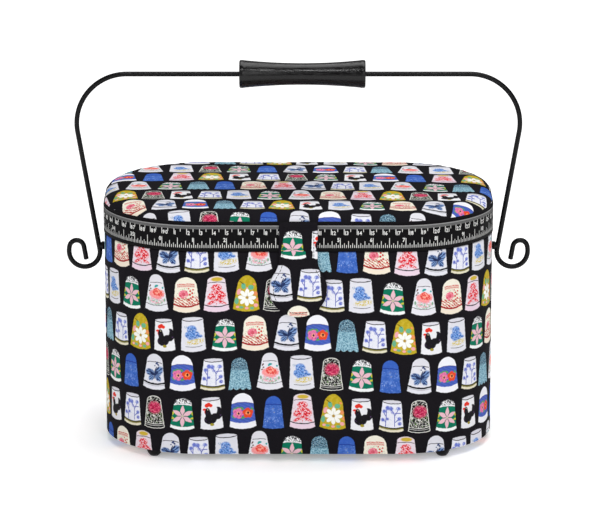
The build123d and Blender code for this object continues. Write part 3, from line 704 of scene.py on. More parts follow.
def scale_ink():
    """The white ink of the tape's numerals, a little worn."""
    p = Finish("scale_ink", roughness=0.55, specular=0.3)
    wear = p.noise(p.place(), 0.5, 3.0)
    p.paint(p.mix(wear.beyond(0.5, 0.3), dye(238, 238, 236), dye(205, 205, 203)))
    p.drive("Roughness", 0.5 + wear * 0.2)
    p.emboss(wear, 0.02)
    return p.material


def wire_enamel():
    """Satin black enamel over drawn wire: fine draw lines and a slight orange peel."""
    p = Finish("wire_enamel", roughness=0.24, specular=0.15)
    peel = p.noise(p.place(), 1.3, 3.0)
    dust = p.noise(p.place(), 6.0, 4.0, 0.7)
    p.paint(p.mix(dust, dye(8, 8, 9), dye(16, 16, 18)))
    p.drive("Roughness", 0.2 + dust * 0.14)
    p.emboss(peel, 0.02)
    return p.material


def grip_lacquer():
    """Black lacquer over turned wood: the open grain runs along the grip and dulls the gloss."""
    p = Finish("grip_lacquer", roughness=0.18, specular=0.3)
    stretched = p.vector("MULTIPLY", p.place(), (0.06, 1.0, 1.0))
    grain = p.noise(stretched, 0.75, 4.0, 0.65)
    pores = grain.beyond(0.56, 0.07)
    turning = (p.parts(p.place())[0] * 4.2).sine() * 0.5 + 0.5
    p.paint(p.mix(pores, dye(6, 5, 6), dye(16, 15, 16)))
    p.drive("Roughness", 0.17 + pores * 0.22 + turning * 0.02)
    p.emboss(1 - pores * 0.8 + turning * 0.05, 0.035)
    return p.material


def moulded_feet():
    """Black moulded plastic with a fine spark-eroded texture, scuffed where it stands."""
    p = Finish("moulded_feet", roughness=0.42, specular=0.1)
    fine = p.noise(p.place(), 0.5, 3.0)
    scuff = p.parts(p.place())[2].within(1.2, 1.0) * p.noise(p.place(), 1.4, 3.0).beyond(0.45, 0.1)
    p.paint(p.mix(scuff, dye(22, 22, 24), dye(82, 82, 84)))
    p.drive("Roughness", 0.36 + fine * 0.14 + scuff * 0.25)
    p.emboss(fine, 0.04)
    return p.material


def steel_plate(name, colour, roughness):
    """Bright plated steel with fine rubbed lines and a few darker spots."""
    p = Finish(name, roughness=roughness, specular=0.5, metallic=1.0)
    rub = p.noise(p.vector("MULTIPLY", p.place(), (4.0, 1.0, 1.0)), 1.4, 3.0)
    spots = p.noise(p.place(), 2.0, 4.0).beyond(0.62, 0.08)
    p.paint(p.mix(spots * 0.5, colour, dye(120, 118, 112)))
    p.drive("Roughness", roughness + rub * 0.14 + spots * 0.15)
    p.emboss(rub, 0.02)
    return p.material


def satin(name, colour, deep):
    """Lining satin: a close warp-faced weave that shines along its floats."""
    p = Finish(name, roughness=0.5, sheen=0.35, specular=0.45)
    p.shader.inputs["Sheen Roughness"].default_value = 0.35
    across, along, _ = p.parts(p.cut("cloth"))
    floats = ((across * 7.0).sine() + (along * 2.1 + across * 3.5).sine()) * 0.25 + 0.5
    cloud = p.noise(p.place(), 14.0, 3.0)
    p.paint(p.mix(cloud * 0.6 + floats * 0.25, deep, colour))
    p.drive("Roughness", 0.4 + cloud * 0.14 + floats * 0.08)
    p.emboss(floats, 0.03)
    return p.material


def card_cover():
    """Pale lining cloth pasted over the ledge's card."""
    p = Finish("card_cover", roughness=0.7, sheen=0.15, specular=0.3)
    fibre = p.noise(p.place(), 0.7, 4.0)
    cloud = p.noise(p.place(), 12.0, 3.0)
    p.paint(p.mix(fibre * 0.4 + cloud * 0.5, dye(196, 187, 172), dye(228, 222, 210)))
    p.drive("Roughness", 0.62 + fibre * 0.18)
    p.emboss(fibre, 0.06)
    return p.material


def grey_board():
    """Pressed fibreboard: flecked grey-brown pulp."""
    p = Finish("grey_board", roughness=0.9, specular=0.2)
    fleck = p.noise(p.place(), 1.1, 5.0, 0.7)
    p.paint(p.mix(fleck, dye(128, 112, 92), dye(186, 170, 148)))
    p.drive("Roughness", 0.82 + fleck * 0.14)
    p.emboss(fleck, 0.15)
    return p.material


def tray_plastic():
    """Off-white moulded plastic: a fine matt texture with faint flow marks."""
    p = Finish("tray_moulding", roughness=0.4, specular=0.5)
    fine = p.noise(p.place(), 0.6, 3.0)
    flow = p.noise(p.vector("MULTIPLY", p.place(), (1.0, 0.25, 0.6)), 22.0, 2.0)
    p.paint(p.mix(flow, dye(224, 221, 213), dye(240, 238, 231)))
    p.drive("Roughness", 0.34 + fine * 0.12)
    p.emboss(fine, 0.04)
    return p.material


def thread(name, colour):
    """Twisted sewing thread: two plies that wind round each other along the stitch."""
    p = Finish(name, roughness=0.6, sheen=0.0, specular=0.08)
    x, y, z = p.parts(p.place())
    twist = ((x + z) * 11.0 + y * 5.0).sine() * 0.5 + 0.5
    p.paint(p.mix(twist, darker(colour, 0.6), colour))
    p.drive("Roughness", 0.5 + twist * 0.2)
    p.emboss(twist, 0.04)
    return p.material


def floor_paper():
    """The pale floor: matt white paper, barely mottled, with a painted glow: it gives off light of its own,
    faint near the box and stronger farther out.
    """
    p = Finish("floor_paper", roughness=0.9, specular=0.1)
    mottle = p.noise(p.place(), 40.0, 3.0)
    p.paint(p.mix(mottle, dye(250, 250, 250), dye(253, 253, 253)))
    across, up, _ = p.parts(p.place())
    # Painted glow: the floor emits light, more the farther it lies from the box, so that it reads white.
    p.drive("Emission Color", ((across * across + up * up) ** 0.5).beyond(900.0, 1200.0) * 0.62 + 0.22)
    p.shader.inputs["Emission Strength"].default_value = 1.0
    return p.material


# ---- Surfaces --------------------------------------------------------------------------------
QUARTER = CORNER * math.pi / 2
SIDE_X = HALF_LENGTH - CORNER
SIDE_Y = HALF_DEPTH - CORNER
GIRTH = 4 * (SIDE_X + SIDE_Y + QUARTER)


def rim(turn, inset=0.0):
    """A point of the box's outline and the way out of the box there.

    turn is the distance along the outer edge from the middle of the front, rightwards. The
    outline is a corner's circle whose centre slides along the straight sides: the centre and
    the angle are each looked up along the edge, and the point is the centre plus the radius,
    less the inset, times the outward direction.
    """
    runs = np.array([0, SIDE_X, QUARTER, 2 * SIDE_Y, QUARTER, 2 * SIDE_X, QUARTER, 2 * SIDE_Y,
                     QUARTER, SIDE_X])
    ends = np.cumsum(runs)
    turn = np.mod(turn, GIRTH)
    angle = np.radians(np.interp(turn, ends, [-90, -90, 0, 0, 90, 90, 180, 180, 270, 270]))
    centre_x = np.interp(turn, ends, np.array([0, 1, 1, 1, 1, -1, -1, -1, -1, 0]) * SIDE_X)
    centre_y = np.interp(turn, ends, np.array([-1, -1, -1, 1, 1, 1, 1, -1, -1, -1]) * SIDE_Y)
    out = np.stack([np.cos(angle), np.sin(angle)], -1)
    centre = np.stack([centre_x, centre_y], -1)
    return centre + out * np.expand_dims(CORNER - np.asarray(inset), -1), out


def lengths(points, axis):
    """Distance run along one axis of a grid of points, averaged over the other."""
    steps = np.linalg.norm(np.diff(points, axis=axis), axis=-1).mean(axis=1 - axis)
    return np.concatenate([[0.0], np.cumsum(steps)])


def grid_faces(rows, columns):
    """Four-sided faces between neighbours of a grid that is numbered row by row."""
    number = np.arange(rows * columns).reshape(rows, columns)
    return np.stack(
        [number[:-1, :-1], number[:-1, 1:], number[1:, 1:], number[1:, :-1]], -1
    ).reshape(-1, 4)


def surface(name, points, finish, body, close_columns=False, patterns=None, merge=False,
            flip=False):
    """A grid of points, in millimetres, as a piece: four-sided faces between neighbours.

    patterns are flat coordinates for the grid's points; "cloth" is the distance run each way
    unless it is given. A grid closed round its columns repeats the first, so that a pattern
    doesn't jump back over the last face.
    """
    if close_columns:
        points = np.concatenate([points, points[:, :1]], axis=1)
    faces = grid_faces(*points.shape[:2])
    if flip:
        faces = faces[:, ::-1]
    patterns = dict(patterns or {})
    if "cloth" not in patterns:
        patterns["cloth"] = np.stack(
            np.meshgrid(lengths(points, 1), lengths(points, 0)), -1
        )
    return mesh_piece(name, points.reshape(-1, 3), faces, finish, body,
                      {key: value.reshape(-1, 2)[faces] for key, value in patterns.items()},
                      merge or close_columns)


def mesh_piece(name, points, faces, finish, body, corners=None, merge=False, kinds=None,
               smooth=True):
    """Points in millimetres and equal-sided faces as a piece that rides on a body."""
    mesh = bpy.data.meshes.new(name)
    count, sides = faces.shape
    mesh.vertices.add(len(points))
    mesh.vertices.foreach_set("co", (np.asarray(points) * MM).astype(np.float32).ravel())
    mesh.loops.add(count * sides)
    mesh.loops.foreach_set("vertex_index", faces.astype(np.int32).ravel())
    mesh.polygons.add(count)
    mesh.polygons.foreach_set("loop_start", np.arange(0, count * sides, sides, dtype=np.int32))
    mesh.polygons.foreach_set("use_smooth", np.full(count, smooth))
    for key, values in (corners or {}).items():
        layer = mesh.uv_layers.new(name=key)
        layer.data.foreach_set("uv", np.asarray(values, np.float32).ravel())
    for material in finish if isinstance(finish, list) else [finish]:
        mesh.materials.append(material)
    if kinds is not None:
        mesh.polygons.foreach_set("material_index", kinds.astype(np.int32).ravel())
    mesh.update()
    mesh.validate()
    if merge:
        shell = bmesh.new()
        shell.from_mesh(mesh)
        bmesh.ops.remove_doubles(shell, verts=shell.verts, dist=2e-6)
        bmesh.ops.dissolve_degenerate(shell, edges=shell.edges, dist=1e-6)
        shell.to_mesh(mesh)
        shell.free()
    piece = bpy.data.objects.new(name, mesh)
    bpy.context.scene.collection.objects.link(piece)
    if body:
        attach(piece, body)
    return piece


def wrap(profile, turns):
    """A profile of insets and heights carried round the outline."""
    inset = profile[:, 0][:, None] * np.ones(len(turns))
    flat, _ = rim(turns[None, :] * np.ones((len(profile), 1)), inset)
    height = profile[:, 1][:, None] * np.ones(len(turns))
    return np.concatenate([flat, height[..., None]], -1)


def whole_turn(step):
    """Even places along the outline, denser than a step, without the last repeated."""
    count = int(math.ceil(GIRTH / step))
    return np.arange(count) * GIRTH / count


def bend(x, z, radius, start, end, count=5):
    """Points of an arc in a profile, between two angles in degrees."""
    angle = np.radians(np.linspace(start, end, count))
    return np.stack([x + radius * np.cos(angle), z + radius * np.sin(angle)], -1)


def turned(name, profile, centre, axis, finish, body, segments=48):
    """A profile of radii and distances, turned about an axis through a centre.

    axis is the direction of the distances; a closed profile gives a closed piece.
    """
    axis = np.asarray(axis, float)
    side = np.array([0.0, 1.0, 0.0]) if abs(axis[1]) < 0.5 else np.array([1.0, 0.0, 0.0])
    third = np.cross(axis, side)
    angle = np.arange(segments) * 2 * math.pi / segments
    ring = np.cos(angle)[:, None] * side + np.sin(angle)[:, None] * third
    profile = np.asarray(profile, float)
    points = (np.asarray(centre) + profile[:, 1][:, None, None] * axis
              + profile[:, 0][:, None, None] * ring[None])
    return surface(name, points, finish, body, close_columns=True, merge=True)


def tube(path, radius, segments=16, cross=(0.0, 1.0, 0.0)):
    """A round tube's rings along a flat path: each ring spans cross and the way across the path.

    The ends are rounded off by rings that shrink as a quarter circle.
    """
    path = np.asarray(path, float)
    forward = np.gradient(path, axis=0)
    forward /= np.linalg.norm(forward, axis=1)[:, None]
    cross = np.asarray(cross, float)
    across = np.cross(forward, cross)
    sizes = np.full(len(path), float(radius))
    cap = np.radians(np.linspace(0, 90, 5))[1:]
    first = path[0] - forward[0] * (radius * 0.35 * np.sin(cap))[:, None]
    last = path[-1] + forward[-1] * (radius * 0.35 * np.sin(cap))[:, None]
    path = np.concatenate([first[::-1], path, last])
    sizes = np.concatenate([(radius * np.cos(cap))[::-1], sizes, radius * np.cos(cap)])
    across = np.concatenate([np.repeat(across[:1], 4, 0), across, np.repeat(across[-1:], 4, 0)])
    angle = np.arange(segments) * 2 * math.pi / segments
    ring = (np.cos(angle)[None, :, None] * cross
            + np.sin(angle)[None, :, None] * across[:, None, :])
    return path[:, None, :] + ring * sizes[:, None, None]


def capsules(starts, ends, outs, radius):
    """Stitches: six-sided rods between two sets of points, pinched at their ends."""
    count = len(starts)
    along = ends - starts
    side = np.cross(outs, along)
    side /= np.linalg.norm(side, axis=1)[:, None]
    shares = np.array([0.0, 0.18, 0.5, 0.82, 1.0])
    sizes = np.array([0.25, 0.9, 1.0, 0.9, 0.25]) * radius
    angle = np.arange(6) * math.pi / 3
    ring = (np.cos(angle)[None, None, :, None] * side[:, None, None, :]
            + np.sin(angle)[None, None, :, None] * outs[:, None, None, :])
    middle = starts[:, None, None, :] + shares[None, :, None, None] * along[:, None, None, :]
    points = middle + ring * sizes[None, :, None, None]
    number = np.arange(count * 30).reshape(count, 5, 6)
    after = np.roll(number, -1, axis=2)
    sides = np.stack([number[:, :-1], after[:, :-1], after[:, 1:], number[:, 1:]], -1)
    return points.reshape(-1, 3), sides.reshape(-1, 4)


def facing_out(points, faces):
    """The faces of a closed piece turned outwards: the volume they enclose comes out positive."""
    corner = points[faces[:, :3]]
    volume = np.einsum("ij,ij->i", corner[:, 0], np.cross(corner[:, 1], corner[:, 2])).sum()
    if faces.shape[1] == 4:
        corner = points[faces[:, [0, 2, 3]]]
        volume += np.einsum("ij,ij->i", corner[:, 0], np.cross(corner[:, 1], corner[:, 2])).sum()
    return faces if volume > 0 else faces[:, ::-1]


def printed(name, points, across, up, body, shut=False, plain=None):
    """A grid covered in the print: across and up place each of its points on the flat cloth.

    Each face takes the finish of the thimble whose share of the cloth its middle is in, and its
    corners' places from that thimble's foot, turned by the thimble's lean. plain marks points
    whose faces are bare cotton.
    """
    faces = grid_faces(*across.shape)
    flat = points.reshape(-1, 3)
    if shut:
        faces = facing_out(flat, faces)
    across, up = across.ravel()[faces], up.ravel()[faces]
    kind, middle, foot = lay_print(across.mean(1), up.mean(1))
    lean = np.radians([THIMBLES[letter][6] for letter in LETTERS])[kind][:, None]
    x, y = across - middle[:, None], up - foot[:, None]
    turned_x = x * np.cos(lean) + y * np.sin(lean)
    turned_y = y * np.cos(lean) - x * np.sin(lean)
    if plain is not None:
        kind = np.where(plain.ravel()[faces].any(1), len(LETTERS), kind)
    corners = {
        "print": np.stack([turned_x, turned_y], -1),
        "cloth": np.stack([across, up], -1),
    }
    return mesh_piece(name, flat, faces, PRINT + [bare_black], body,
                      corners, shut, kind)


PRINT = [
    {
        "T": knurled_thimble, "U": cobalt_thimble, "S": sprig_thimble, "H": bird_thimble,
        "F": filigree_thimble, "W": blue_rose_thimble, "C": coral_rose_thimble,
        "G": star_flower_thimble, "L": lace_thimble, "R": rose_thimble,
        "B": butterfly_thimble, "N": garland_thimble, "M": daisy_thimble,
    }[letter]()
    for letter in LETTERS
]
bare_black = bare_cotton()
piping_cloth = corded_piping()
enamel = wire_enamel()
lacquer = grip_lacquer()
foot_moulding = moulded_feet()
zinc = steel_plate("zinc_plate", dye(198, 198, 194), 0.34)
nickel = steel_plate("nickel_plate", dye(206, 204, 198), 0.24)
lining_satin = satin("lining_satin", dye(233, 226, 212), dye(212, 203, 187))
red_cotton = plain_cotton("red_cotton", dye(178, 34, 42), 0.6, 0.15)
ledge_cloth = card_cover()
board = grey_board()
tray_moulding = tray_plastic()
black_thread = thread("black_thread", dye(16, 15, 18))


# ---- The body's printed cover ----------------------------------------------------------------
def cloth_droop(turn):
    """How much lower the print's rows run away from the front: the cloth is laid on a slant.

    A slow wave twice round the box, with a smaller one once round.
    """
    angle = turn * (2 * math.pi / GIRTH)
    return 3.5 * (1 - np.cos(2 * angle)) + 2.0 * np.sin(angle)


def soft_wave(turn, height):
    """How far the cloth stands off its board: two slow waves, under a fifth of a millimetre."""
    return 0.1 * np.sin(turn * 0.071 + height * 0.03) + 0.07 * np.sin(turn * 0.163 - height * 0.09)


def body_cover(name, start):
    """Half of the body's cover: turned under the base, up the wall and over the rim.

    The wall's rows fall on the boundaries between the print's rows. The print's height is the
    length of cloth above the bottom edge.
    """
    step, edge, turned_in = ROW_PITCH / 26, 1.2, 12.0
    levels = FIRST_BASELINE - ROW_MARGIN + np.arange(8, 150) * step
    levels = levels[(levels > edge) & (levels < RIM - BODY_BOTTOM - edge)]
    wall = np.stack([np.zeros(len(levels)), BODY_BOTTOM + levels], -1)
    under = np.stack([np.linspace(turned_in, 1.4, 9), np.full(9, BODY_BOTTOM)], -1)
    profile = np.concatenate([
        [(turned_in, BODY_BOTTOM + CLOTH)], under,
        [(0.8, BODY_BOTTOM + 0.06), (0.24, BODY_BOTTOM + 0.24), (0.06, BODY_BOTTOM + 0.8)], wall,
        [(0.06, RIM - 0.8), (0.24, RIM - 0.24), (0.8, RIM - 0.04), (2.2, RIM), (3.3, RIM - 0.04),
         (3.7, RIM - 0.24), (3.8, RIM - CLOTH)],
    ])
    run = np.concatenate([[0], np.cumsum(np.linalg.norm(np.diff(profile, axis=0), axis=1))])
    base = np.argmin(np.abs(profile[:, 1] - BODY_BOTTOM - 0.24) + 9.0 * (profile[:, 0] > 0.5))
    height = run - run[base]
    on_wall = (profile[:, 0] < 0.01)
    height[on_wall] = profile[on_wall, 1] - BODY_BOTTOM
    turns = np.linspace(start, start + GIRTH / 2, 292)
    points = wrap(profile, turns)
    _, out = rim(turns)
    swell = soft_wave(turns[None, :], profile[:, 1][:, None]) * on_wall[:, None]
    points[..., :2] -= out[None] * np.abs(swell)[..., None] * 0.6
    across = np.ones((len(profile), 1)) * turns[None, :]
    up = height[:, None] + cloth_droop(turns)[None, :]
    return printed(name, points, across, up, "box")


front_cover = body_cover("body_cover_front", -GIRTH / 4)
back_cover = body_cover("body_cover_back", GIRTH / 4)
for half in (front_cover, back_cover):
    GIRTH / 2 * MM
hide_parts("body_cover")


# ---- The lid's cloths ------------------------------------------------------------------------
def spine(flat):
    """The nearest place on the line along the box's middle, which the outline shrinks to."""
    reach_x = HALF_LENGTH - HALF_DEPTH
    return np.stack([np.clip(flat[..., 0], -reach_x, reach_x), np.zeros(flat.shape[:-1])], -1)


def inwards(turns, inset, height, shares, crown=0.0):
    """A flat face from a ring of the outline to the spine, with its middle raised by crown.

    A point is the ring's point moved a share of the way to the spine; the rise is a smooth
    step of that share.
    """
    ring, _ = rim(turns, inset)
    shares = shares[:, None, None]
    flat = ring[None] * (1 - shares) + spine(ring)[None] * shares
    rise = height + crown * (shares * shares * (3 - 2 * shares))
    return np.concatenate([flat, rise * np.ones(flat.shape[:-1] + (1,))], -1)


PAD_SLOPE = 17.0


def lid_top():
    """The padded top: a sloping shoulder out of the piping, then a slightly domed face.

    The shoulder is a quarter of an ellipse, as deep as the pad and wider; the cloth's place on
    the flat print is carried on over it by length along the curve. Small puckers ripple the
    shoulder where the cloth is drawn in.
    """
    turns = whole_turn(1.5)
    slope_rows, face_rows = 12, 73
    rise = np.radians(np.linspace(11, 90, slope_rows))
    inset = PAD_SLOPE - PAD_SLOPE * np.cos(rise)
    height = LID_TOP - SHOULDER + SHOULDER * np.sin(rise)
    run = np.concatenate([[0.0], np.cumsum(np.hypot(np.diff(inset), np.diff(height)))])
    laid = PAD_SLOPE - run[-1] + run
    shoulder = wrap(np.stack([inset, height], -1), turns)
    flat_shoulder = np.stack([rim(turns, value)[0] for value in laid])
    face = inwards(turns, PAD_SLOPE, LID_TOP, np.linspace(0, 1, face_rows + 1)[1:], 1.2)
    points = np.concatenate([shoulder, face])
    flat = np.concatenate([flat_shoulder, face[..., :2]])
    pucker = np.sin(turns * 0.47 + 1.3 * np.sin(turns * 0.06)) * 0.12
    fade = np.concatenate([np.sin(np.linspace(0, math.pi, slope_rows)), np.zeros(face_rows)])
    settled = np.concatenate([np.linspace(0, 1, slope_rows), np.ones(face_rows)])
    cloud = 0.16 * np.sin(points[..., 0] * 0.07) * np.sin(points[..., 1] * 0.09 + 0.6)
    points[..., 2] += pucker[None] * fade[:, None] + cloud * settled[:, None]
    points = np.concatenate([points, points[:, :1]], axis=1)
    flat = np.concatenate([flat, flat[:, :1]], axis=1)
    across = flat[..., 0] + 95.0 + 0.017 * (flat[..., 1] + 90.0)
    up = flat[..., 1] + 10.8 + 0.03 * flat[..., 0]
    piece = printed("lid_top_print", points, across, up, "lid")
    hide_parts("lid_top_cover", "lid_pad")


lid_top()
around = whole_turn(2.0)
# The woven edge of the tape rides up on the piping.
TAPE_EDGE = TAPE_TOP + 1.5
tape_profile = np.array([
    (0.0, TAPE_BOTTOM), (-0.42, TAPE_BOTTOM), (-0.5, TAPE_BOTTOM + 0.1), (-0.5, TAPE_BOTTOM + 6.5),
    (-0.5, TAPE_BOTTOM + 13.0), (-0.5, TAPE_EDGE - 0.1), (-0.42, TAPE_EDGE), (0.0, TAPE_EDGE),
])
# The tape's ends meet behind the tab and at the middle of the back, so its two runs read apart.
TAPE_RUNS = (("tape_right", 0.0, 94.5), ("tape_left", GIRTH / 2, 106.4 - GIRTH))
for name, start, zero in TAPE_RUNS:
    stretch = np.linspace(start, start + GIRTH / 2, 291)
    scale = np.stack(np.meshgrid(stretch + zero, tape_profile[:, 1] - TAPE_BOTTOM), -1)
    tape = surface(name, wrap(tape_profile, stretch), tape_print(), "lid",
                   patterns={"scale": scale})
    GIRTH / 2 * MM
    if start == 0.0:
        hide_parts("tape_trim")

cord_turn = np.linspace(0, math.pi, 11)
cord_height = np.linspace(TAPE_EDGE + 0.3, PIPING_TOP, 11)
piping_profile = np.concatenate([
    [(-0.02, TAPE_EDGE - 0.4), (-0.1, TAPE_EDGE + 0.2)],
    np.stack([0.8 - 1.1 * np.sin(cord_turn) ** 0.6, cord_height], -1)[1:],
])
piping = surface("lid_piping_cord", wrap(piping_profile, around), piping_cloth, "lid",
                 close_columns=True)
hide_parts("lid_piping")


# ---- The tape's numerals ---------------------------------------------------------------------
# Its numbers start again after this many centimetres and inches.
TAPE_CENTIMETRES, TAPE_INCHES = 90, 36


def numeral_shapes():
    """Each numeral as flat triangles one unit high, its left edge at zero, with its width."""
    shapes = {}
    for numeral in "0123456789":
        curve = bpy.data.curves.new("numeral", "FONT")
        curve.body = numeral
        curve.resolution_u = 2
        curve.offset = 0.026
        letter = bpy.data.objects.new("numeral", curve)
        bpy.context.scene.collection.objects.link(letter)
        mesh = bpy.data.meshes.new_from_object(
            letter.evaluated_get(bpy.context.evaluated_depsgraph_get()))
        mesh.calc_loop_triangles()
        points = np.zeros(len(mesh.vertices) * 3)
        mesh.vertices.foreach_get("co", points)
        points = points.reshape(-1, 3)[:, :2]
        triangles = np.zeros(len(mesh.loop_triangles) * 3, int)
        mesh.loop_triangles.foreach_get("vertices", triangles)
        points -= points.min(0)
        points /= points[:, 1].max()
        shapes[numeral] = (points, triangles.reshape(-1, 3), points[:, 0].max())
        bpy.data.objects.remove(letter)
        bpy.data.meshes.remove(mesh)
        bpy.data.curves.remove(curve)
    return shapes


def tape_numerals():
    """Centimetres hang under the border after their ticks; inches stand before theirs.

    Each numeral is laid flat at its distance and height, and then carried round the outline.
    """
    shapes = numeral_shapes()
    points, triangles, count = [], [], 0
    narrow = 0.92

    def write(number, at, low, high, before):
        """A number whose left edge, or whose right edge if it stands before, is at a distance."""
        nonlocal count
        text = str(number)
        gap = 0.16 * high
        widths = [shapes[numeral][2] * high * narrow for numeral in text]
        start = at - sum(widths) - gap * (len(text) - 1) if before else at
        for numeral, width in zip(text, widths):
            shape, faces, _ = shapes[numeral]
            points.append(shape * (high * narrow, high) + (start, low))
            triangles.append(faces + count)
            count += len(shape)
            start += width + gap

    for _, start, zero in TAPE_RUNS:
        first, last = start + zero, start + zero + GIRTH / 2
        for centimetre in range(math.ceil(first / CENTIMETRE), int(last / CENTIMETRE)):
            place = centimetre * CENTIMETRE - zero
            write((centimetre - 1) % TAPE_CENTIMETRES + 1, place + 0.6, TAPE_BOTTOM + 13.1, 3.2, False)
        for inch in range(math.ceil((first + CENTIMETRE / 2) / INCH), int(last / INCH) + 1):
            place = inch * INCH - zero
            write(inch % TAPE_INCHES, place - 0.55, TAPE_BOTTOM + 7.6, 3.3, True)
    flat, triangles = np.concatenate(points), np.concatenate(triangles)
    laid, _ = rim(flat[:, 0], np.full(len(flat), -0.56))
    solid = np.concatenate([laid, flat[:, 1:]], -1)
    mesh_piece("tape_numerals", solid, triangles, scale_ink(), "lid", smooth=False)


tape_numerals()


# ---- The closure tab -------------------------------------------------------------------------
(_, TAB_FRONT, TAB_TIP), (TAB_HALF, _, _) = reach("tab_cover")
_, (_, TAB_BACK, TAB_TOP) = reach("tab_core")
TAB_NECK = 15.0
TAB_ROUND = 20.0
TAB_SHOULDER = 1.5
TAB_THICK = TAB_BACK - TAB_FRONT


def tab_edge(inset, step=1.2):
    """Points of the tab's outline moved inwards: neck, hollow curve and round tip.

    The runs are straight or circular; each is spelled out as points with their outward
    directions, the right half mirrored for the left, and then spaced evenly.
    """
    centre = TAB_TIP + TAB_HALF
    hollow = centre + math.sqrt((TAB_HALF + TAB_ROUND) ** 2 - (TAB_NECK + TAB_ROUND) ** 2)
    meet = math.degrees(math.atan2(hollow - centre, TAB_NECK + TAB_ROUND))
    runs = []

    def arc(x, z, radius, start, end, inward=1):
        """A circle's arc between two angles, with the tab inside it or, at -1, outside it."""
        turn = np.radians(np.linspace(start, end, 60))
        out = np.stack([np.cos(turn), np.sin(turn)], -1)
        runs.append((np.array([x, z]) + out * radius, out * inward))

    arc(0, centre, TAB_HALF, -90, meet)
    arc(TAB_NECK + TAB_ROUND, hollow, TAB_ROUND, meet + 180, 180, -1)
    arc(TAB_NECK - TAB_SHOULDER, TAB_TOP - TAB_SHOULDER, TAB_SHOULDER, 0, 90)
    right = np.concatenate([run[0] for run in runs])
    out = np.concatenate([run[1] for run in runs])
    points = np.concatenate([right, (right * (-1, 1))[::-1]])
    out = np.concatenate([out, (out * (-1, 1))[::-1]])
    moved = points - out * inset
    run = np.concatenate([[0], np.cumsum(np.linalg.norm(np.diff(points, axis=0), axis=1))])
    places = np.linspace(0, run[-1], int(run[-1] / step))
    return np.stack([np.interp(places, run, moved[:, axis]) for axis in (0, 1)], -1)


def closure_tab():
    """The tab: a flat pad with round edges, printed in front and plain behind.

    Rings of the outline run from the back's middle line out over a half-round edge and in
    again to the front's middle line.
    """
    half = TAB_THICK / 2
    rings, plain = [], []
    edge = tab_edge(0.0)
    heart = np.clip(edge[:, 1], TAB_TIP + TAB_HALF, TAB_TOP - TAB_NECK)
    middle = np.stack([np.zeros(len(edge)), heart], -1)
    inner = tab_edge(half)
    depth = (TAB_FRONT + TAB_BACK) / 2
    for share in np.linspace(1, 0, 8)[:-1]:
        rings.append((inner * (1 - share) + middle * share, depth + half))
        plain.append(True)
    for turn in np.radians(np.linspace(-90, 90, 9)):
        rings.append((tab_edge(half * (1 - math.cos(turn))), depth - half * math.sin(turn)))
        plain.append(turn < -0.8)
    for share in np.linspace(0, 1, 16)[1:]:
        rings.append((inner * (1 - share) + middle * share, depth - half))
        plain.append(False)
    points = np.stack([
        np.stack([ring[:, 0], np.full(len(ring), y), ring[:, 1]], -1) for ring, y in rings
    ])
    welt = np.abs(points[..., 2] - (TAB_TOP - 3.4)) < 0.7
    points[..., 1] += 0.35 * (welt & (points[..., 1] < depth))
    points = np.concatenate([points, points[:, :1]], axis=1)
    plain = np.array(plain)[:, None] * np.ones(points.shape[1], bool)
    # A tuck takes up cloth above one height, and below another the print is let down; the last
    # row of thimbles ends before the tab does.
    height = points[..., 2]
    tuck = np.clip((height - 171.2) / 0.8, 0, 1)
    let_down = np.clip((164.5 - height) / 3.5, 0, 1)
    up = np.minimum(height - 144.1 + 2.1 * let_down + 3.2 * tuck, 51.4)
    across = points[..., 0] + 122.5 + 1.2 * tuck
    piece = printed("closure_tab", points, across, up, "tab", True, plain)
    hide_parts("tab_cover", "tab_core")


closure_tab()
# The topstitching: a stitch along most of each step of a line inside the tab's edge.
seam = tab_edge(3.0, 2.9)
seam = seam[seam[:, 1] < TAB_TOP - 6.0]
starts = np.stack([seam[:-1, 0], np.full(len(seam) - 1, TAB_FRONT - 0.02), seam[:-1, 1]], -1)
ends = starts.copy()
ends[:, [0, 2]] += (seam[1:] - seam[:-1]) * 0.82
near = np.linalg.norm(ends - starts, axis=1) < 4
forwards = np.tile([0.0, -1.0, 0.0], (near.sum(), 1))
stitches, stitch_faces = capsules(starts[near], ends[near], forwards, 0.24)
mesh_piece("tab_topstitch", stitches, stitch_faces, black_thread, "tab", merge=True)


# ---- The bail handle and its grip ------------------------------------------------------------
PIVOT_Z = sum(reach("pivot_eyelet_left"))[2] / 2
GRIP_LOW, GRIP_HIGH = reach("handle_grip")
BAR_Z = (GRIP_LOW[2] + GRIP_HIGH[2]) / 2
WIRE = 2.0
WIRE_X = HALF_LENGTH + 5.5
SPLAY = 9.7
BEND = 40.0


def trace(start, heading, runs, step=0.8):
    """A bent wire's line: runs of a length and a turn, each turning evenly along itself."""
    points = [np.array([start], float)]
    for length, turn in runs:
        count = max(2, int(round(length / step)))
        middle = heading + np.radians(turn) * (np.arange(count) + 0.5) / count
        steps = np.stack([np.cos(middle), np.sin(middle)], -1) * length / count
        points.append(points[-1][-1] + np.cumsum(steps, axis=0))
        heading += math.radians(turn)
    return np.concatenate(points)


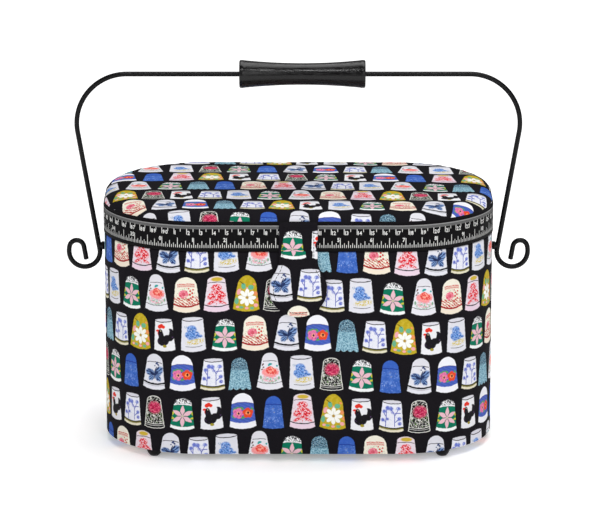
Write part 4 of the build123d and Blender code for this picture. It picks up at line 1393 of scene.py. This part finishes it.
def bail():
    """The bail: a bar, two bends, two legs splayed outwards and a scroll at each foot."""
    rise, lean = BAR_Z - PIVOT_Z, math.radians(SPLAY)
    bar = WIRE_X + rise * math.tan(lean) - BEND * math.tan(math.radians((90 + SPLAY) / 2))
    leg = (rise - BEND * (1 + math.sin(lean))) / math.cos(lean) + 3.2
    arcs = [(BEND, -90 - SPLAY), (0, 0), (12.3, 165 + SPLAY), (16.0, 30.0), (5.8, 155.0)]
    runs = [(bar, 0.0)] + [
        (radius * abs(math.radians(turn)), turn) if radius else (leg, 0.0) for radius, turn in arcs
    ] + [(10.5, 0.0)]
    half = trace((0.0, BAR_Z), 0.0, runs)
    line = np.concatenate([(half * (-1, 1))[::-1], half[1:]])
    path = np.stack([line[:, 0], np.zeros(len(line)), line[:, 1]], -1)
    piece = surface("bail_wire", tube(path, WIRE, 18), enamel, "handle",
                    close_columns=True, merge=True)
    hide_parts("handle_wire")


bail()
STUD = [(0.0, 0.0), (2.4, 0.0), (2.5, 0.2), (2.5, 9.4), (2.9, 9.5), (3.3, 9.8), (3.3, 11.4),
        (2.9, 11.9), (2.5, 12.2), (2.5, 13.6), (0.0, 13.6)]
EYELET = [(2.55, -0.2), (2.55, 0.9), (3.2, 1.0), (4.4, 0.95), (5.2, 0.6), (5.5, 0.0), (2.55, -0.2)]
for end, sign in (("left", -1), ("right", 1)):
    turned(f"bail_stud_{end}", STUD, (sign * (WIRE_X - 13.8), 0, PIVOT_Z), (sign, 0, 0), enamel,
           "handle")
    eyelet = turned(f"wall_eyelet_{end}", EYELET, (sign * HALF_LENGTH, 0, PIVOT_Z), (sign, 0, 0),
                    enamel, "box")
    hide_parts(f"pivot_eyelet_{end}")

# The grip is waisted: its radius grows as the square of the distance from its middle.
WAIST_END = 46
span = np.linspace(-WAIST_END, WAIST_END, 47)
waist = 8.8 + 2.35 * (span / WAIST_END) ** 2
grip_profile = np.concatenate([
    [(2.06, -50.0), (9.4, -50.0)], bend(9.95, -48.8, 1.2, 270, 360), [(11.15, -46.6), (11.0, -46.1)],
    np.stack([waist - 0.15, span], -1)[1:-1], [(11.0, 46.1), (11.15, 46.6)],
    bend(9.95, 48.8, 1.2, 0, 90), [(9.4, 50.0), (2.06, 50.0), (2.06, -50.0)],
])
grip = turned("turned_grip", grip_profile, ((GRIP_LOW[0] + GRIP_HIGH[0]) / 2, 0, BAR_Z), (1, 0, 0),
              lacquer, "grip", 64)
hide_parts("handle_grip")

# ---- Feet ------------------------------------------------------------------------------------
DOME = [(0.0, 0.0), (2.6, 0.0), (3.3, 0.15), (4.2, 0.9), (5.1, 2.2), (5.8, 3.6), (6.3, 5.2),
        (6.5, 6.4), (5.9, 6.5), (0.0, 6.5)]
for end in ("left", "right"):
    for side in ("front", "back"):
        low, high = reach(f"foot_{side}_{end}")
        middle = (low + high) / 2
        foot = turned(f"domed_foot_{side}_{end}", DOME, (middle[0], middle[1], 0.0), (0, 0, 1),
                      foot_moulding, "box", 40)
        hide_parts(f"foot_{side}_{end}")


# ---- Linings ---------------------------------------------------------------------------------
levels = np.linspace(RIM - 0.1, BOARD_TOP + 0.4, 60)
wall_lining = wrap(np.stack([np.full(60, LINING), levels], -1), around)
_, out = rim(around)
ripple = 0.14 * np.sin(around * 0.21)[None, :]
ripple = ripple * np.sin((levels - levels[-1]) * 0.02)[:, None]
wall_lining[..., :2] += out[None] * np.abs(ripple)[..., None]
wall_lining = np.concatenate([wrap(np.array([(BOARD_EDGE, RIM - 0.1)]), around), wall_lining])
piece = surface("body_lining_satin", wall_lining, lining_satin, "box", close_columns=True)
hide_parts("body_lining")

ceiling_ring = np.array([(BOARD_EDGE, LID_BOTTOM), (LINING, LID_BOTTOM + 0.1),
                         (LINING, LID_BOTTOM + 9.0),
                         (LINING, LID_CEILING - 0.6), (LINING + 0.6, LID_CEILING)])
sheet = inwards(around, LINING + 0.6, LID_CEILING, np.linspace(0, 1, 40)[1:])
sheet[..., 2] -= 0.22 * (1 + np.sin(sheet[..., 0] * 0.13) * np.sin(sheet[..., 1] * 0.11))
ceiling = np.concatenate([wrap(ceiling_ring, around), sheet])
piece = surface("lid_lining_satin", ceiling, lining_satin, "lid", close_columns=True, flip=True)
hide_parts("lid_lining")


def quilted_floor():
    """The floor pad: a satin-covered panel quilted in diamonds.

    The top rises by the product of two slanting sines, held above nothing, so the pads are
    domes and the stitched lines are valleys; the rise fades out at the edge.
    """
    inset = LINING + 0.3
    edge = np.array([(inset + 1.0, BOARD_TOP + 0.05), (inset + 0.1, BOARD_TOP + 0.4),
                     (inset, BOARD_TOP + 1.2), (inset + 0.2, BOARD_TOP + 2.2),
                     (inset + 0.9, FLOOR_TOP - 0.2)])
    under = inwards(around, inset + 1.0, BOARD_TOP + 0.05, np.linspace(1, 0, 4)[:-1])
    top = inwards(around, inset + 0.9, FLOOR_TOP - 0.2, np.linspace(0, 1, 60)[1:])
    x, y, quilting = top[..., 0], top[..., 1], math.pi / 26
    diamond = np.abs(np.sin((x + y) * quilting) * np.sin((x - y) * quilting)) ** 0.45
    fade = np.clip(np.linspace(0, 8, len(top)), 0, 1)[:, None]
    top[..., 2] += (diamond * 1.7 - 0.5) * fade
    points = np.concatenate([under, wrap(edge, around), top])
    piece = surface("quilted_floor_pad", points, lining_satin, "box", close_columns=True)
    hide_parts("floor_panel")


quilted_floor()


# ---- Lid fittings ----------------------------------------------------------------------------
def pincushion():
    """The pincushion: a plump block whose sides bulge between its corners, with a tied seam.

    A rounded oblong's rings are carried up a side that bulges by the sine of its height, then
    in to the middle over a crown; dimples at the ties are round bells taken off the crown.
    """
    low, high = reach("pincushion")
    centre = (low + high) / 2
    half_x, half_y, deep = (high[0] - low[0]) / 2, (high[1] - low[1]) / 2, high[2] - low[2]
    count, squareness = 160, 0.45
    angle = np.arange(count) * 2 * math.pi / count
    round_ring = np.stack([np.cos(angle), np.sin(angle)], -1)
    ring = np.sign(round_ring) * np.abs(round_ring) ** squareness
    rows = [(share * 0.93, 0.0) for share in np.linspace(0, 1, 5)[1:]]
    for turn in np.radians(np.linspace(8, 82, 9)):
        swell = 0.93 + 0.07 * math.sin(turn * 1.2) - 0.05 * (turn / 1.43) ** 3
        rows.append((swell, deep * 0.72 * math.sin(turn)))
    last = rows[-1]
    for share in np.linspace(0, 1, 26)[1:]:
        rows.append((last[0] * (1 - share), last[1] + (deep - last[1]) * math.sin(share * math.pi / 2)))
    rows = np.array(rows)
    points = np.zeros((len(rows), count, 3))
    points[..., 0] = centre[0] + ring[None, :, 0] * rows[:, 0][:, None] * half_x
    points[..., 1] = centre[1] + ring[None, :, 1] * rows[:, 0][:, None] * half_y
    points[..., 2] = high[2] - 0.35 - rows[:, 1][:, None]
    crown = np.clip((rows[:, 1] - last[1]) / (deep - last[1]), 0, 1)[:, None]
    for tie in (-32.0, 0.0, 32.0):
        away = (points[..., 0] - tie) ** 2 + (points[..., 1] - centre[1]) ** 2
        points[..., 2] += crown * 3.2 * np.exp(-away / 26.0)
    crease = 0.35 * np.sin(angle * 21.0 + np.sin(angle * 5.0))[None, :]
    points[..., 2] += crease * np.sin(np.clip(rows[:, 1] / deep, 0, 1) * math.pi)[:, None]
    piece = surface("pincushion_pad", points, red_cotton, "lid",
                    close_columns=True, merge=True)
    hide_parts("pincushion")


pincushion()


def lid_pocket():
    """The lid's pocket: cloth gathered on elastic at its mouth and sewn down round the back.

    Each column runs straight from the mouth to the seam. Gathers are a sine along the mouth
    that fades towards the seam; near the seam the cloth rises to the ceiling.
    """
    mouth_y, back, count = reach("lid_pocket")[0][1], LINING + 1.6, 421
    corner = mouth_y + SIDE_Y + SIDE_X + QUARTER
    places = np.linspace(corner, GIRTH - corner, count)
    seam_line, _ = rim(places, back)
    mouth_x = np.interp(places, [places[0], places[-1]], [seam_line[0, 0], seam_line[-1, 0]])
    mouth = np.stack([mouth_x, np.full(count, mouth_y)], -1)
    shares = np.linspace(0, 1, 34)[:, None, None]
    loose = 1 - shares[..., 0]
    flat = mouth[None] * (1 - shares) + seam_line[None] * shares
    away = np.linalg.norm(seam_line - mouth, axis=1)[None, :] * loose
    share = np.linspace(0, 1, count)
    gather = np.sin(share * 2 * math.pi * 36 + 0.8 * np.sin(share * 21))
    depth = 0.75 * gather[None, :] * loose ** 1.5 * np.clip(away / 12.0, 0, 1)
    settle = np.clip(away / 9.0, 0, 1)
    height = LID_CEILING - 0.5 - 5.6 * settle * settle * (3 - 2 * settle) + depth
    points = np.concatenate([flat, height[..., None]], -1)
    piece = surface("lid_pocket_satin", points, lining_satin, "lid", flip=True)
    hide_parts("lid_pocket")
    return piece, points


pocket, pocket_points = lid_pocket()

# The elastic's casing: a flattened tube, ruffled along its length and drawn shut at its ends.
low, high = reach("pocket_elastic")
rings, sides = 286, 14
along = np.linspace(low[0], high[0], rings)
section = np.arange(sides) * 2 * math.pi / sides
ruffle = 1 + 0.2 * np.sin(along * 1.9 + 0.7 * np.sin(along * 0.31))
elastic = np.zeros((rings, sides, 3))
elastic[..., 0] = along[:, None]
elastic[..., 1] = (low[1] + high[1]) / 2 + np.cos(section)[None, :] * 3.0
elastic[..., 2] = (low[2] + high[2]) / 2 + 0.25 + np.sin(section)[None, :] * 0.62 * ruffle[:, None]
first, last = (np.repeat(ring.mean(1, keepdims=True), sides, 1) for ring in (elastic[:1], elastic[-1:]))
elastic = np.concatenate([first, elastic, last])
casing = surface("pocket_elastic_casing", elastic, lining_satin, "lid", close_columns=True,
                 merge=True)
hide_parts("pocket_elastic")

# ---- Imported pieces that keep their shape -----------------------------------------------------
KEPT = (
    (board, ("side_board", "base_board", "lid_rim_board", "lid_top_board")),
    (bare_black, ("base_cover", "lid_side_cover")),
    (ledge_cloth, ("tray_ledge",)),
    (nickel, ("body_magnet", "tab_magnet")),
    (zinc, ("foot_washers", "pivot_washer_left", "pivot_washer_right", "pivot_nut_left",
            "pivot_nut_right")),
    (enamel, ("hinge_body_leaf_left", "hinge_body_leaf_right", "hinge_lid_leaf_left",
              "hinge_lid_leaf_right", "hinge_pin_left", "hinge_pin_right", "hinge_body_rivets",
              "hinge_lid_rivets")),
    (tray_moulding, ("tray_left", "tray_right")),
)
for finish, nodes in KEPT:
    for node in nodes:
        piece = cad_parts[node]
        if not piece.material_slots:
            piece.data.materials.append(finish)
        for place in piece.material_slots:
            place.material = finish


# ---- Floor, lights and camera ----------------------------------------------------------------
# A wide flat sheet of paper under the box.
side = np.linspace(-12000, 12000, 13)
paper = np.stack(list(np.meshgrid(side, side)) + [np.zeros((13, 13))], -1)
surface("backdrop", paper, floor_paper(), None)


def softbox(name, place, aim, width, height, power):
    """An area light at a place that faces a point."""
    light = bpy.data.lights.new(name, "AREA")
    light.shape = "RECTANGLE"
    light.size, light.size_y = width, height
    light.energy = power
    lamp = bpy.data.objects.new(name, light)
    bpy.context.scene.collection.objects.link(lamp)
    lamp.location = place
    way = np.array(aim) - np.array(place)
    flat = math.hypot(way[0], way[1])
    lamp.rotation_euler = (math.atan2(flat, -way[2]), 0.0, math.atan2(way[1], way[0]) - math.pi / 2)


# A wide light in front, a weaker one to the left, one overhead, and a narrow one for the gloss.
softbox("key", (0.9, -2.4, 1.2), (0, 0, 0.1), 1.4, 1.2, 13)
softbox("fill", (-1.8, -2.0, 0.9), (0, 0, 0.1), 1.8, 1.6, 7)
softbox("top", (0.3, 0.4, 2.2), (0, 0, 0.1), 2.0, 1.4, 34)
softbox("strip", (0.0, -1.6, 2.1), (0, 0, 0.25), 1.1, 0.06, 15)
world = bpy.data.worlds.new("studio")
world.use_nodes = True
sky = world.node_tree.nodes["Background"]
sky.inputs[0].default_value = (1.0, 1.0, 1.0, 1.0)
sky.inputs[1].default_value = 0.2
bpy.context.scene.world = world
bpy.context.scene.view_settings.view_transform = "Standard"

TILT = 13.88
camera = bpy.data.objects.new("camera", bpy.data.cameras.new("camera"))
bpy.context.scene.collection.objects.link(camera)
camera.data.lens = 231.5
camera.data.sensor_width = 36.0
camera.location = (0.0013, -3.0, 0.8825)
camera.rotation_euler = (math.radians(90 - TILT), 0.0, 0.0)
bpy.context.scene.camera = camera
